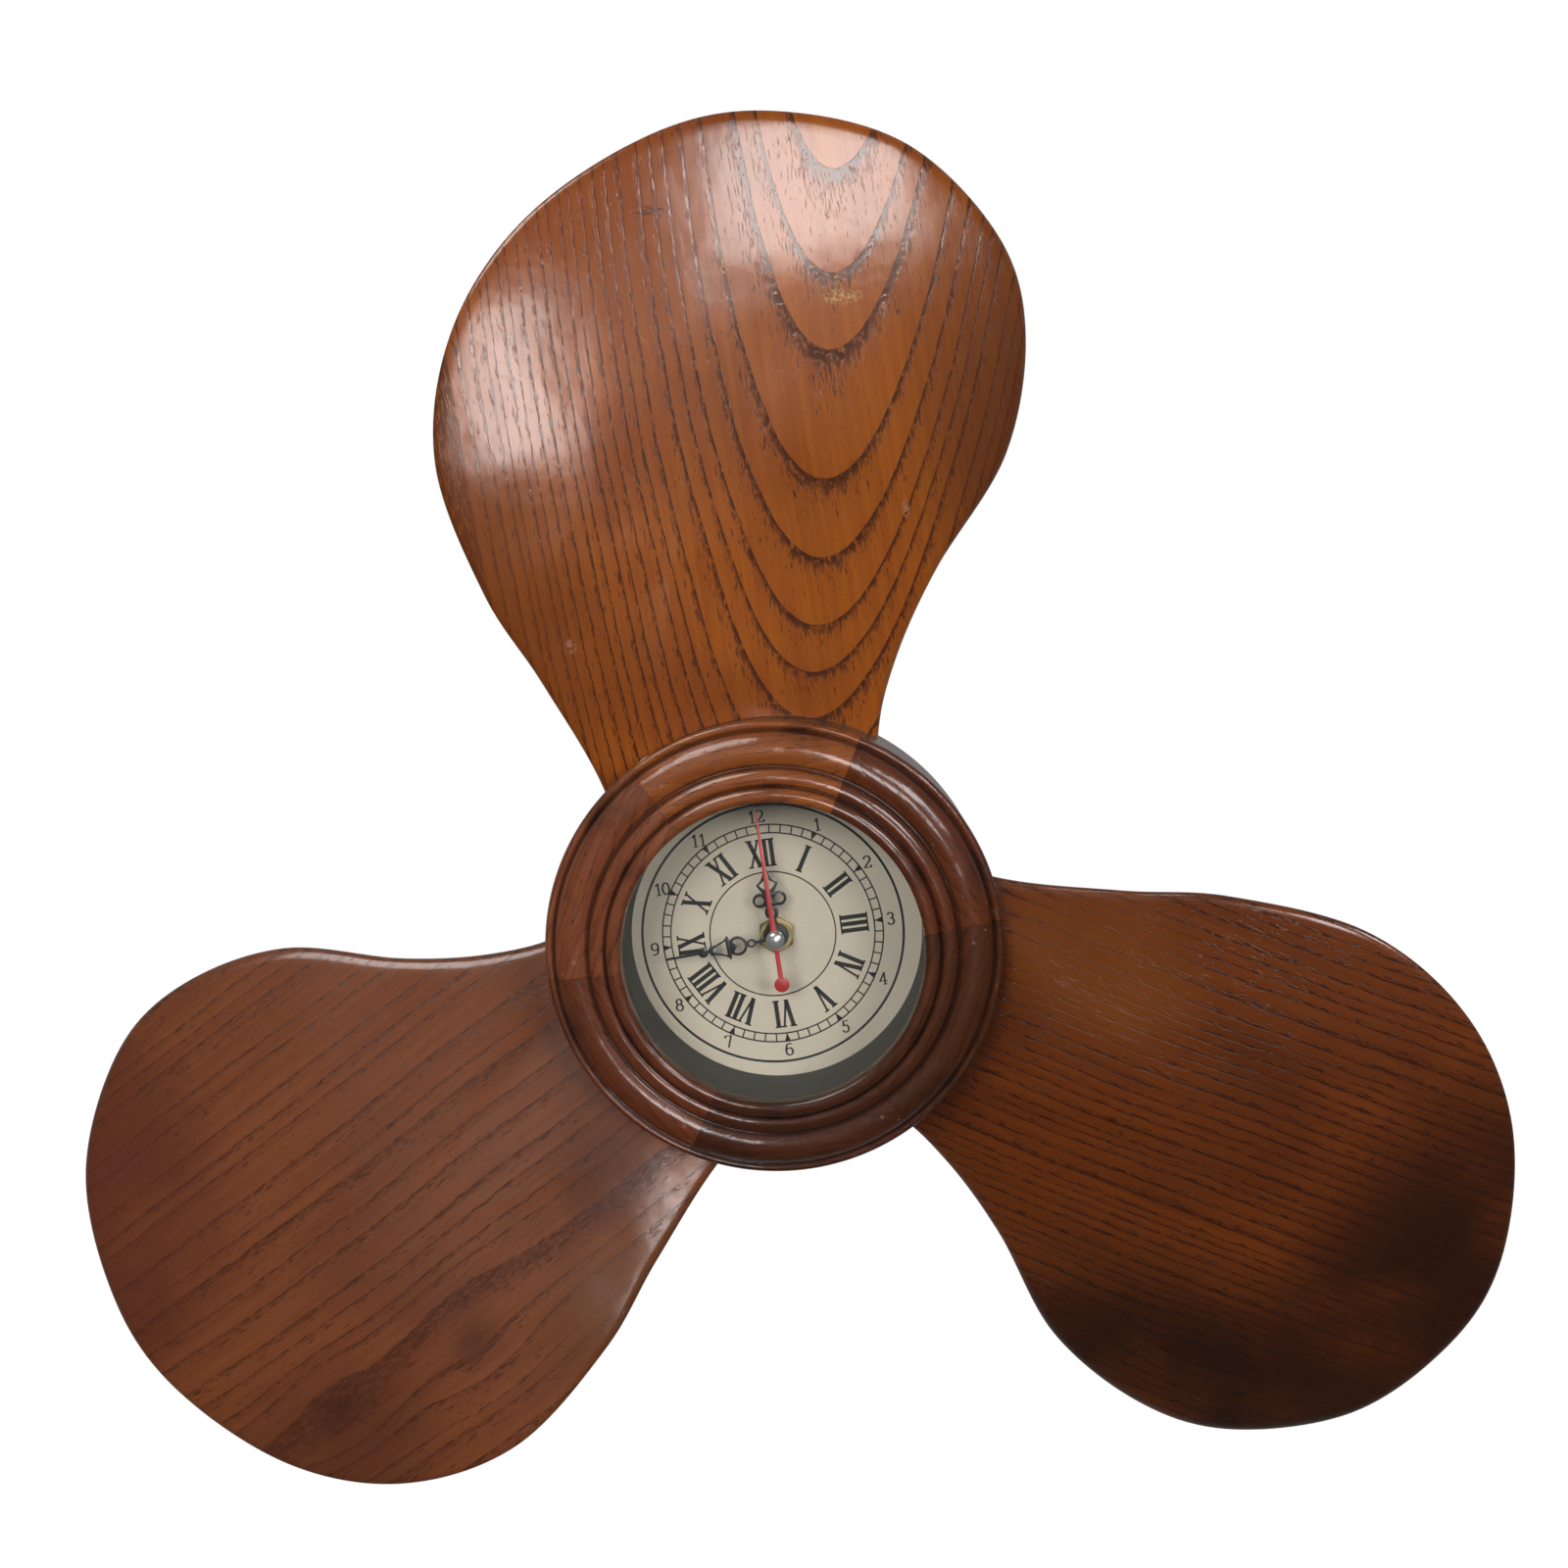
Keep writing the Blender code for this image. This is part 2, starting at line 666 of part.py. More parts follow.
for side, side_name in ((-1, "left"), (1, "right")):
    centre = (side * screw_x, screw_y)
    turned(
        f"hanger_screw_{side_name}",
        [
            (0, SCREW_LENGTH),
            (SCREW_RADIUS * 0.45, SCREW_LENGTH - 0.0012),
            (SCREW_RADIUS, SCREW_LENGTH - 0.0030),
            (SCREW_RADIUS, SCREW_HEAD_HEIGHT),
            (SCREW_HEAD_RADIUS, GAP),
            (0, GAP),
        ],
        STEEL,
        steps=16,
        closed=False,
        at=centre,
    )
    countersink = rod(
        f"countersink_{side_name}", SCREW_HEAD_RADIUS + 2 * GAP, 0, SCREW_HEAD_HEIGHT,
        STEEL, 16, top_radius=SCREW_RADIUS + GAP, at=centre, helper=True,
    )
    pilot = rod(
        f"pilot_hole_{side_name}", SCREW_RADIUS + GAP, -0.001, SCREW_LENGTH + GAP,
        HUB_WOOD, 16, at=centre, helper=True,
    )
    cut(hanger_plate, countersink, pilot)
    cut(hub, pilot)

# ---------------------------------------------------------------- movement case
def rounded_outline(half, low, high, corner, sides=4):
    points = []
    across, up, down = half - corner, high - corner, low + corner
    for quarter, centre in enumerate([(across, up), (-across, up), (-across, down), (across, down)]):
        for step in range(sides + 1):
            turn = math.pi / 2 * (quarter + step / sides)
            points.append(polar(corner, turn, centre))
    return points


case = plate(
    "movement_case",
    rounded_outline(CASE_WIDTH / 2, CASE_BOTTOM, CASE_TOP, CASE_CORNER),
    CASE_BACK,
    CASE_FRONT,
    BLACK_PLASTIC,
)
stub = rod("stub", STUB_RADIUS, CASE_FRONT - 0.0005, DIAL_FACE + STUB_HEIGHT, BLACK_PLASTIC,
           helper=True)
stub_bore = rod("stub_bore", STUB_BORE_RADIUS, CASE_INNER_FRONT - 0.001,
                DIAL_FACE + STUB_HEIGHT + 0.001, BLACK_PLASTIC, helper=True)
train_room = box(
    "train_room",
    (-CASE_INNER, TRAIN_FLOOR, CASE_BACK - 0.001),
    (CASE_INNER, CASE_INNER, CASE_INNER_FRONT),
    BLACK_PLASTIC,
    helper=True,
)
battery_bay = box(
    "battery_bay",
    (-BAY_HALF, BAY_FLOOR, CASE_BACK - 0.001),
    (BAY_HALF, BAY_TOP, CASE_INNER_FRONT),
    BLACK_PLASTIC,
    helper=True,
)
join(case, stub)
cut(case, stub_bore, train_room, battery_bay)

cover_room = GAP
back_cover = box(
    "movement_back_cover",
    (-CASE_INNER + cover_room, TRAIN_FLOOR + cover_room, CASE_BACK),
    (CASE_INNER - cover_room, CASE_INNER - cover_room, CASE_BACK + CASE_WALL),
    BLACK_PLASTIC,
)

turned(
    "rubber_washer",
    [
        (WASHER_RADIUS, CASE_FRONT + GAP + WASHER_THICKNESS),
        (WASHER_RADIUS, CASE_FRONT + GAP),
        (STUB_RADIUS + GAP, CASE_FRONT + GAP),
        (STUB_RADIUS + GAP, CASE_FRONT + GAP + WASHER_THICKNESS),
    ],
    RUBBER,
    steps=24,
)
plate(
    "hex_nut",
    circle(NUT_ACROSS_FLATS / math.sqrt(3), 6, start=math.radians(22)),
    DIAL_FACE + GAP,
    DIAL_FACE + GAP + NUT_HEIGHT,
    BRASS,
    holes=[circle(STUB_RADIUS + GAP / 2, 24)],
)

# ---------------------------------------------------------------- battery and its contacts
bay_y = BAY_FLOOR + BATTERY_RADIUS + BATTERY_CLEARANCE
bay_z = CASE_INNER_FRONT - BATTERY_RADIUS - BATTERY_CLEARANCE
half_cell = BATTERY_LENGTH / 2
cell_shoulder = half_cell - BATTERY_BUTTON_HEIGHT
cell = turned(
    "battery",
    [
        (0, half_cell),
        (BATTERY_BUTTON_RADIUS, half_cell),
        (BATTERY_BUTTON_RADIUS, cell_shoulder),
        (BATTERY_RADIUS - BATTERY_SHOULDER, cell_shoulder),
        (BATTERY_RADIUS, cell_shoulder - BATTERY_SHOULDER),
        (BATTERY_RADIUS, -half_cell + BATTERY_SHOULDER),
        (BATTERY_RADIUS - BATTERY_SHOULDER, -half_cell),
        (0, -half_cell),
    ],
    BATTERY_WRAP,
    steps=20,
    closed=False,
)
cell.rotation_euler = (0, math.pi / 2, 0)
cell.location = (0, bay_y, bay_z)
contact_out = BAY_HALF - GAP
for side, contact_name in ((1, "positive_contact"), (-1, "negative_contact")):
    low_x, high_x = sorted((side * contact_out, side * (contact_out - CONTACT_THICKNESS)))
    box(
        contact_name,
        (low_x, bay_y - CONTACT_WIDTH / 2, CASE_BACK + 0.001),
        (high_x, bay_y + CONTACT_WIDTH / 2, CASE_INNER_FRONT - GAP),
        STEEL,
    )

# ---------------------------------------------------------------- gear train
LAYERS = [CASE_INNER_FRONT - 0.0015 - layer * LAYER_PITCH for layer in range(6)]
HOUR_LAYER, REVERSER_LAYER, CENTRE_LAYER, THIRD_LAYER, SECONDS_LAYER, ROTOR_LAYER = LAYERS


def gear_outline(teeth, module, phase=0.0):
    """A simple toothed outline: one point at each tooth's tip and one between the teeth."""
    pitch_radius = teeth * module / 2
    points = []
    for tooth in range(teeth):
        for radius, half in ((pitch_radius + 0.8 * module, 0), (pitch_radius - module, 0.5)):
            points.append(polar(radius, phase + math.tau * (tooth + half) / teeth))
    return points


def mating_phase(phase, teeth, other_teeth, direction):
    """The turn of a gear that meshes with another one lying in the given direction from it."""
    offset = (phase - direction) * teeth / other_teeth
    return direction + math.pi - offset + math.pi / other_teeth


def spacing(teeth, other_teeth, module):
    return (teeth + other_teeth + MESH_ROOM) * module / 2


def layer_plate(name, outline, layer, look, holes=(), helper=False, at=(0, 0)):
    """A plate one wheel thick at a layer."""
    return plate(
        name, outline, layer, layer + WHEEL_THICKNESS, look, holes, helper=helper, at=at
    )


reverser_at = polar(spacing(CANNON_TEETH, REVERSER_TEETH, MOTION_MODULE), REVERSER_DIRECTION)
setting_at = polar(
    spacing(REVERSER_TEETH, SETTING_TEETH, MOTION_MODULE), SETTING_DIRECTION, reverser_at
)
third_at = polar(spacing(THIRD_PINION_TEETH, CENTRE_TEETH, CENTRE_MODULE), THIRD_DIRECTION)
third_module = 2 * math.hypot(*third_at) / (THIRD_TEETH + SECONDS_PINION_TEETH + MESH_ROOM)
hour_module = 2 * math.hypot(*reverser_at) / (HOUR_TEETH + REVERSER_PINION_TEETH + MESH_ROOM)
middle_at = polar(spacing(SECONDS_TEETH, MIDDLE_PINION_TEETH, SECONDS_MODULE), MIDDLE_DIRECTION)
rotor_at = polar(
    spacing(MIDDLE_TEETH, ROTOR_PINION_TEETH, ROTOR_MODULE), ROTOR_DIRECTION, middle_at
)

reverser_phase = mating_phase(0, CANNON_TEETH, REVERSER_TEETH, REVERSER_DIRECTION)
setting_phase = mating_phase(reverser_phase, REVERSER_TEETH, SETTING_TEETH, SETTING_DIRECTION)
hour_phase = mating_phase(
    0, REVERSER_PINION_TEETH, HOUR_TEETH, REVERSER_DIRECTION + math.pi
)
third_phase = mating_phase(0, SECONDS_PINION_TEETH, THIRD_TEETH, THIRD_DIRECTION)
centre_phase = mating_phase(0, THIRD_PINION_TEETH, CENTRE_TEETH, THIRD_DIRECTION + math.pi)
middle_phase = mating_phase(0, SECONDS_TEETH, MIDDLE_PINION_TEETH, MIDDLE_DIRECTION)
rotor_phase = mating_phase(0, MIDDLE_TEETH, ROTOR_PINION_TEETH, ROTOR_DIRECTION)

# Tube and arbor ends: each stands a hand's thickness and a little more above its hand.
hour_hand_back = DIAL_FACE + HOUR_HAND_LIFT
minute_hand_back = DIAL_FACE + MINUTE_HAND_LIFT
second_hand_back = DIAL_FACE + SECOND_HAND_LIFT
TUBE_STAND = 0.0006

hour_tube_top = hour_hand_back + HAND_THICKNESS + TUBE_STAND
minute_tube_top = minute_hand_back + HAND_THICKNESS + TUBE_STAND
second_arbor_top = second_hand_back + HAND_THICKNESS + TUBE_STAND

hour_wheel = layer_plate(
    "hour_wheel", gear_outline(HOUR_TEETH, hour_module, hour_phase), HOUR_LAYER, WHITE_PLASTIC
)
hour_tube = rod("hour_tube", HOUR_TUBE_RADIUS, HOUR_LAYER + 0.0003, hour_tube_top,
                WHITE_PLASTIC, 20, helper=True)
hour_bore = rod("hour_bore", MINUTE_TUBE_RADIUS + TUBE_ROOM, HOUR_LAYER - 0.001,
                hour_tube_top + 0.001, WHITE_PLASTIC, 20, helper=True)
join(hour_wheel, hour_tube)
cut(hour_wheel, hour_bore)

minute_cannon = layer_plate(
    "minute_cannon", gear_outline(CANNON_TEETH, MOTION_MODULE), REVERSER_LAYER, WHITE_PLASTIC
)
minute_tube = rod("minute_tube", MINUTE_TUBE_RADIUS, REVERSER_LAYER + 0.0003, minute_tube_top,
                  WHITE_PLASTIC, 16, helper=True)
minute_hub = rod("minute_hub", MINUTE_TUBE_RADIUS, CENTRE_LAYER - GAP, REVERSER_LAYER + 0.0006,
                 WHITE_PLASTIC, 16, helper=True)
minute_bore = rod("minute_bore", MINUTE_TUBE_RADIUS - TUBE_WALL, CENTRE_LAYER - 0.001,
                  minute_tube_top + 0.001, WHITE_PLASTIC, 16, helper=True)
join(minute_cannon, minute_tube, minute_hub)
cut(minute_cannon, minute_bore)

layer_plate(
    "centre_wheel",
    gear_outline(CENTRE_TEETH, CENTRE_MODULE, centre_phase),
    CENTRE_LAYER,
    WHITE_PLASTIC,
    holes=[circle(MINUTE_TUBE_RADIUS + RUNNING_GAP, 16)],
)


def wheel_with_pinion(name, wheel, pinion, arbor_radius, arbor_ends, at, look=WHITE_PLASTIC):
    """A moulded wheel, its pinion and its arbor, all in one piece.

    wheel and pinion are (outline, layer); the pinion is carried on from the wheel.
    """
    (wheel_outline, wheel_layer), (pinion_outline, pinion_layer) = wheel, pinion
    low = min(wheel_layer, pinion_layer)
    high = max(wheel_layer, pinion_layer) + WHEEL_THICKNESS
    body = layer_plate(name, wheel_outline, wheel_layer, look, at=at)
    if pinion_layer > wheel_layer:
        low += WHEEL_THICKNESS / 2
    else:
        high -= WHEEL_THICKNESS / 2
    teeth = plate(name + "_pinion", pinion_outline, low, high, look, helper=True, at=at)
    arbor = rod(name + "_arbor", arbor_radius, *arbor_ends, look, 12, at=at, helper=True)
    return join(body, teeth, arbor)


pivot_back = CASE_BACK + CASE_WALL + GAP
pivot_front = CASE_INNER_FRONT - GAP
wheel_with_pinion(
    "reverser_wheel",
    (gear_outline(REVERSER_TEETH, MOTION_MODULE, reverser_phase), REVERSER_LAYER),
    (gear_outline(REVERSER_PINION_TEETH, hour_module), HOUR_LAYER),
    0.0008,
    (REVERSER_LAYER - 0.0006, pivot_front),
    reverser_at,
)
wheel_with_pinion(
    "seconds_wheel",
    (gear_outline(SECONDS_TEETH, SECONDS_MODULE), SECONDS_LAYER),
    (gear_outline(SECONDS_PINION_TEETH, third_module), THIRD_LAYER),
    SECOND_ARBOR_RADIUS,
    (pivot_back, second_arbor_top),
    (0, 0),
)
wheel_with_pinion(
    "third_wheel",
    (gear_outline(THIRD_TEETH, third_module, third_phase), THIRD_LAYER),
    (gear_outline(THIRD_PINION_TEETH, CENTRE_MODULE), CENTRE_LAYER),
    0.0006,
    (THIRD_LAYER - 0.0006, CENTRE_LAYER + WHEEL_THICKNESS + 0.0006),
    third_at,
)
wheel_with_pinion(
    "middle_wheel",
    (gear_outline(MIDDLE_TEETH, ROTOR_MODULE), ROTOR_LAYER),
    (gear_outline(MIDDLE_PINION_TEETH, SECONDS_MODULE, middle_phase), SECONDS_LAYER),
    0.0006,
    (pivot_back, SECONDS_LAYER + WHEEL_THICKNESS + 0.0004),
    middle_at,
)
rotor_pinion = gear_outline(ROTOR_PINION_TEETH, ROTOR_MODULE, rotor_phase)
rotor = plate("rotor", rotor_pinion, ROTOR_LAYER, SECONDS_LAYER, MAGNET, at=rotor_at)
rotor_magnet = rod("rotor_magnet", ROTOR_RADIUS, SECONDS_LAYER - GAP, SECONDS_LAYER + 0.0012,
                   MAGNET, 20, at=rotor_at, helper=True)
rotor_arbor = rod("rotor_arbor", 0.0004, pivot_back, SECONDS_LAYER + 0.0020, MAGNET, 10,
                  at=rotor_at, helper=True)
join(rotor, rotor_magnet, rotor_arbor)

knob_back = CASE_BACK - KNOB_STAND_OFF
setting_knob = rod("setting_knob", KNOB_RADIUS, knob_back, CASE_BACK - GAP, BLACK_PLASTIC, 24,
                   at=setting_at)
setting_shaft = rod("setting_shaft", KNOB_SHAFT_RADIUS, CASE_BACK - 0.001,
                    REVERSER_LAYER + WHEEL_THICKNESS + 0.0005,
                    BLACK_PLASTIC, 12, at=setting_at, helper=True)
setting_pinion = layer_plate(
    "setting_pinion", gear_outline(SETTING_TEETH, MOTION_MODULE, setting_phase),
    REVERSER_LAYER, BLACK_PLASTIC, helper=True, at=setting_at,
)
join(setting_knob, setting_shaft, setting_pinion)
knob_hole = rod("knob_hole", KNOB_SHAFT_RADIUS + RUNNING_GAP, CASE_BACK - 0.001,
                CASE_BACK + CASE_WALL + 0.001, BLACK_PLASTIC, 16, at=setting_at, helper=True)
cut(back_cover, knob_hole)

# ---------------------------------------------------------------- motor coil and circuit
stator_bottom = rotor_at[1] - 0.0036
stator_top = rotor_at[1] + 0.0036
stator_left = rotor_at[0] - 0.0110
stator_right = rotor_at[0] + 0.0130
leg_width = 0.0030
leg_top = CASE_INNER - 0.0010
stator_outline = [
    (stator_left, stator_bottom),
    (stator_right, stator_bottom),
    (stator_right, leg_top),
    (stator_right - leg_width, leg_top),
    (stator_right - leg_width, stator_top),
    (stator_left + leg_width, stator_top),
    (stator_left + leg_width, leg_top),
    (stator_left, leg_top),
]
plate("stator", stator_outline, SECONDS_LAYER - 0.0001,
      SECONDS_LAYER - 0.0001 + STATOR_THICKNESS, STEEL,
      holes=[circle(ROTOR_RADIUS + 0.0004, 20, rotor_at)])
core_y = leg_top - 0.0020
core_low = SECONDS_LAYER + STATOR_THICKNESS - 0.0001 + GAP
box("coil_core", (stator_left, core_y - CORE_WIDTH / 2, core_low),
    (stator_right, core_y + CORE_WIDTH / 2, core_low + CORE_THICKNESS), STEEL)
coil_z = core_low + CORE_THICKNESS / 2
coil_ends = (stator_left + leg_width + 0.0006, stator_right - leg_width - 0.0006)
coil_room = box("coil_room", (-CASE_WIDTH, core_y - CORE_WIDTH / 2 - GAP, core_low - GAP),
                (CASE_WIDTH, core_y + CORE_WIDTH / 2 + GAP, core_low + CORE_THICKNESS + GAP),
                COPPER, helper=True)
coil = cross_rod("motor_coil", COIL_RADIUS, (coil_ends[0], core_y, coil_z),
                 (coil_ends[1], core_y, coil_z), COPPER, 16)
cut(coil, coil_room)

circuit_left = third_at[0] + THIRD_TEETH * third_module / 2 + 0.0014
circuit_back = CASE_BACK + CASE_WALL + 0.0012
box("circuit_board", (circuit_left, TRAIN_FLOOR + 0.0015, circuit_back),
    (CASE_INNER - 0.0006, stator_bottom + 0.0060, circuit_back + 0.0010), BOARD_GREEN)
crystal_x = (circuit_left + CASE_INNER) / 2
crystal_z = circuit_back + 0.0010 + GAP + 0.0010
cross_rod("quartz_crystal", 0.0010, (crystal_x, TRAIN_FLOOR + 0.0040, crystal_z),
          (crystal_x, TRAIN_FLOOR + 0.0100, crystal_z), STEEL, 12)

# ---------------------------------------------------------------- hands
# Each hand is drawn pointing along +Y: half its outline as (length, half width) points.


def arc(radius, first, last, steps, centre=(0.0, 0.0), squash=1.0):
    """Points of an arc as (length, half width); squash narrows it to an ellipse."""
    turns = [math.radians(first + (last - first) * step / steps) for step in range(steps + 1)]
    return [
        (centre[0] + radius * math.cos(turn), centre[1] + squash * radius * math.sin(turn))
        for turn in turns
    ]


def both_sides(half):
    """The closed outline of a hand from its half, turned to point along +Y."""
    right = [(width, length) for length, width in half]
    left = [(-width, length) for length, width in reversed(half) if width > 0.00001]
    return right + left


def turned_loop(loop):
    return [(width, length) for length, width in loop]


def hand(name, half, holes, back, look, at_hour):
    """A flat hand pressed on its tube, set to a place on the dial counted in hours."""
    outline = both_sides(half)
    return plate(
        name, outline, back, back + HAND_THICKNESS, look, holes,
        turn=-math.tau * at_hour / 12,
    )


hour_half = [
    *arc(0.0036, 180, 28, 9),
    *arc(0.0026, 150, 35, 6, (0.0083, 0.0), 0.92),
    *arc(0.00245, 205, -35, 12, (0.0127, 0.0032)),
    (0.0164, 0.0027),
    (0.0180, 0.0038),
    (0.0192, 0.0023),
    (0.0206, 0.0012),
    (0.0264, 0.0003),
]
hour_holes = [
    circle(HOUR_TUBE_RADIUS + GAP / 2, 20),
    turned_loop(arc(0.0014, 0, 330, 11, (0.0082, 0.0), 0.7)),
    turned_loop(arc(0.0018, 0, 330, 11, (0.0127, 0.0033))),
    turned_loop(arc(0.0018, 0, 330, 11, (0.0127, -0.0033))),
    turned_loop([(0.0156, 0.0), (0.0167, 0.0017), (0.0179, 0.0027), (0.0189, 0.0014),
                 (0.0199, 0.0), (0.0189, -0.0014), (0.0179, -0.0027), (0.0167, -0.0017)]),
]
hand("hour_hand", hour_half, hour_holes, hour_hand_back, HAND_BLACK, 11.95)

minute_half = [
    *arc(0.0030, 180, 10, 10),
    (0.0064, 0.0004),
    *arc(0.0017, 165, 15, 6, (0.0081, 0.0), 0.9),
    *arc(0.00325, 165, 42, 7, (0.0127, 0.0)),
    (0.0158, 0.0043),
    (0.0175, 0.0026),
    (0.0198, 0.0017),
    (0.0216, 0.0014),
    (0.0226, 0.0005),
    *arc(0.0017, 160, 16, 6, (0.0244, 0.0)),
    (0.0371, 0.00022),
]
minute_holes = [
    circle(MINUTE_TUBE_RADIUS + GAP / 2, 16),
    turned_loop(arc(0.00105, 0, 330, 11, (0.0081, 0.0), 0.9)),
    turned_loop([*arc(0.0026, 45, 315, 12, (0.0127, 0.0)), (0.0131, 0.0)]),
    turned_loop([(0.0165, -0.0025), (0.0165, 0.0025), (0.0178, 0.0018), (0.0200, 0.0010),
                 (0.0215, 0.0), (0.0200, -0.0010), (0.0178, -0.0018)]),
]
hand("minute_hand", minute_half, minute_holes, minute_hand_back, HAND_BLACK, 8.88)

second_half = [
    *arc(0.0025, 180, 20, 10, (-SECOND_TAIL_LENGTH, 0.0)),
    (-0.0030, 0.0007),
    *arc(0.0017, 140, 30, 4),
    (SECOND_HAND_LENGTH, 0.0004),
]
hand("second_hand", second_half, [circle(SECOND_ARBOR_RADIUS + GAP / 2, 12)],
     second_hand_back, HAND_RED, 11.98)
cap_back = second_hand_back + HAND_THICKNESS + GAP
turned(
    "second_hand_cap",
    [
        (0, DIAL_FACE + CAP_TOP_LIFT),
        (CAP_RADIUS * 0.42, DIAL_FACE + CAP_TOP_LIFT - 0.0002),
        (CAP_RADIUS * 0.80, DIAL_FACE + CAP_TOP_LIFT - 0.0007),
        (CAP_RADIUS, DIAL_FACE + CAP_TOP_LIFT - 0.0015),
        (CAP_RADIUS, cap_back),
        (SECOND_ARBOR_RADIUS + GAP / 2, cap_back),
        (SECOND_ARBOR_RADIUS + GAP / 2, second_arbor_top + GAP),
        (0, second_arbor_top + GAP),
    ],
    CHROME,
    steps=24,
    closed=False,
)
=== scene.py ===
"""Looks of the propeller wall clock: carved blades, turned hub ring, printed dial, hands, back.

Pieces are drawn lying face up about the shaft, x to the right, y to 12 o'clock and z forward
from the wall, and are then stood upright, so that each finished mesh holds its own place.
"""

import math

import bmesh
import bpy
from mathutils import Matrix, Vector, noise


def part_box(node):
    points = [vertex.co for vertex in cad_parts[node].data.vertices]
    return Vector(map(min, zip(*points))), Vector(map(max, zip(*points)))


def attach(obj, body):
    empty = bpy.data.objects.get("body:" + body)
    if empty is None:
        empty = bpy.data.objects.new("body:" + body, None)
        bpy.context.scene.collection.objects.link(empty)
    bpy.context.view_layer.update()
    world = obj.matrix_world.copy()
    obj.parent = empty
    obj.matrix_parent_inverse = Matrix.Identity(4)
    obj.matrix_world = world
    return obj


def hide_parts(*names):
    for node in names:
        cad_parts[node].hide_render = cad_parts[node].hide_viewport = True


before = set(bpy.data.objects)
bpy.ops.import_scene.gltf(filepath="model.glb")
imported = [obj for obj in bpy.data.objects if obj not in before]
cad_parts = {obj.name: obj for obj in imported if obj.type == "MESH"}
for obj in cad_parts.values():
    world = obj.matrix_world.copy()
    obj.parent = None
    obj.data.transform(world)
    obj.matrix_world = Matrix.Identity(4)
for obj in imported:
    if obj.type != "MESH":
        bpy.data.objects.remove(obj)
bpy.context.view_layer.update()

# ---------------------------------------------------------------- places, from the frame
MM = 0.001
nut_low, nut_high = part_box("hex_nut")
hub_low, hub_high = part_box("hub_drum")
paper_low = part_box("dial_paper")[0]
glass_low, glass_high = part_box("dial_glass")
sleeve_low, sleeve_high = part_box("lining_sleeve")
wedge_low, wedge_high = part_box("ring_wedge_2")
SHAFT_Z = (nut_low.z + nut_high.z) / 2
HUB_RADIUS = (hub_high.x - hub_low.x) / 2
HUB_DEPTH = -hub_low.y
DIAL_FACE = -paper_low.y
RING_BACK = -wedge_high.y
RING_HEIGHT = wedge_high.y - wedge_low.y
RING_OPENING = 48.0 * MM
REBATE_RADIUS = (glass_high.x - glass_low.x) / 2 + 0.3 * MM
REBATE_DEPTH = 6.0 * MM
SLEEVE_RADIUS = (sleeve_high.x - sleeve_low.x) / 2
GAP = 0.3 * MM

upright = Matrix.Translation((0, 0, SHAFT_Z)) @ Matrix.Rotation(math.pi / 2, 4, "X")


# ---------------------------------------------------------------- making pieces
def as_object(name, bm):
    """The mesh as a new object in the scene. The bmesh is used up."""
    mesh = bpy.data.meshes.new(name)
    bm.to_mesh(mesh)
    bm.free()
    made = bpy.data.objects.new(name, mesh)
    bpy.context.scene.collection.objects.link(made)
    return made


def finished(name, bm, look, body="clock", replaces=(), smooth=35, stands=True):
    """Turns a lying mesh into a finished, upright piece that rides on its body."""
    if stands:
        bmesh.ops.transform(bm, matrix=upright, verts=bm.verts)
    bmesh.ops.recalc_face_normals(bm, faces=bm.faces)
    piece = as_object(name, bm)
    piece.data.shade_smooth()
    piece.data.set_sharp_from_angle(angle=math.radians(smooth))
    piece.data.materials.append(look)
    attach(piece, body)
    if replaces:
        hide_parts(*replaces)
    return piece


def evaluated_mesh(made):
    """The object's evaluated mesh as a bmesh. The object itself is removed."""
    bpy.context.view_layer.update()
    graph = bpy.context.evaluated_depsgraph_get()
    mesh = bpy.data.meshes.new_from_object(made.evaluated_get(graph))
    bm = bmesh.new()
    bm.from_mesh(mesh)
    bpy.data.objects.remove(made, do_unlink=True)
    bpy.data.meshes.remove(mesh)
    return bm


def combined(bm, cuts=(), joins=()):
    """bm with other meshes joined to it and then cut from it."""
    made = as_object("blank", bm)
    tools = []
    for operation, others in (("UNION", joins), ("DIFFERENCE", cuts)):
        for other in others:
            bmesh.ops.recalc_face_normals(other, faces=other.faces)
            tool = as_object("tool", other)
            tools.append(tool)
            modifier = made.modifiers.new(operation, "BOOLEAN")
            modifier.operation = operation
            modifier.solver = "EXACT"
            modifier.object = tool
    result = evaluated_mesh(made)
    for tool in tools:
        bpy.data.objects.remove(tool, do_unlink=True)
    return result


def merged(*parts):
    """Several meshes as one, their bodies still apart."""
    whole = bmesh.new()
    for part in parts:
        mesh = bpy.data.meshes.new("part")
        part.to_mesh(mesh)
        part.free()
        whole.from_mesh(mesh)
        bpy.data.meshes.remove(mesh)
    return whole


def turned(profile, steps=160, centre=(0, 0), sweep=math.tau, start=0.0):
    """A closed profile of (radius, height) points spun about the shaft or about a centre."""
    bm = bmesh.new()
    rows = []
    whole = abs(sweep - math.tau) < 1e-6
    for step in range(steps if whole else steps + 1):
        turn = start + sweep * step / steps
        rows.append([
            bm.verts.new((centre[0] + r * math.cos(turn), centre[1] + r * math.sin(turn), h))
            for r, h in profile
        ])
    spans = list(zip(rows, rows[1:])) + ([(rows[-1], rows[0])] if whole else [])
    count = len(profile)
    for near, far in spans:
        for index in range(count):
            following = (index + 1) % count
            bm.faces.new((near[index], near[following], far[following], far[index]))
    if not whole:
        bm.faces.new(rows[0])
        bm.faces.new(reversed(rows[-1]))
    bmesh.ops.remove_doubles(bm, verts=bm.verts, dist=1e-7)
    bmesh.ops.recalc_face_normals(bm, faces=bm.faces)
    return bm


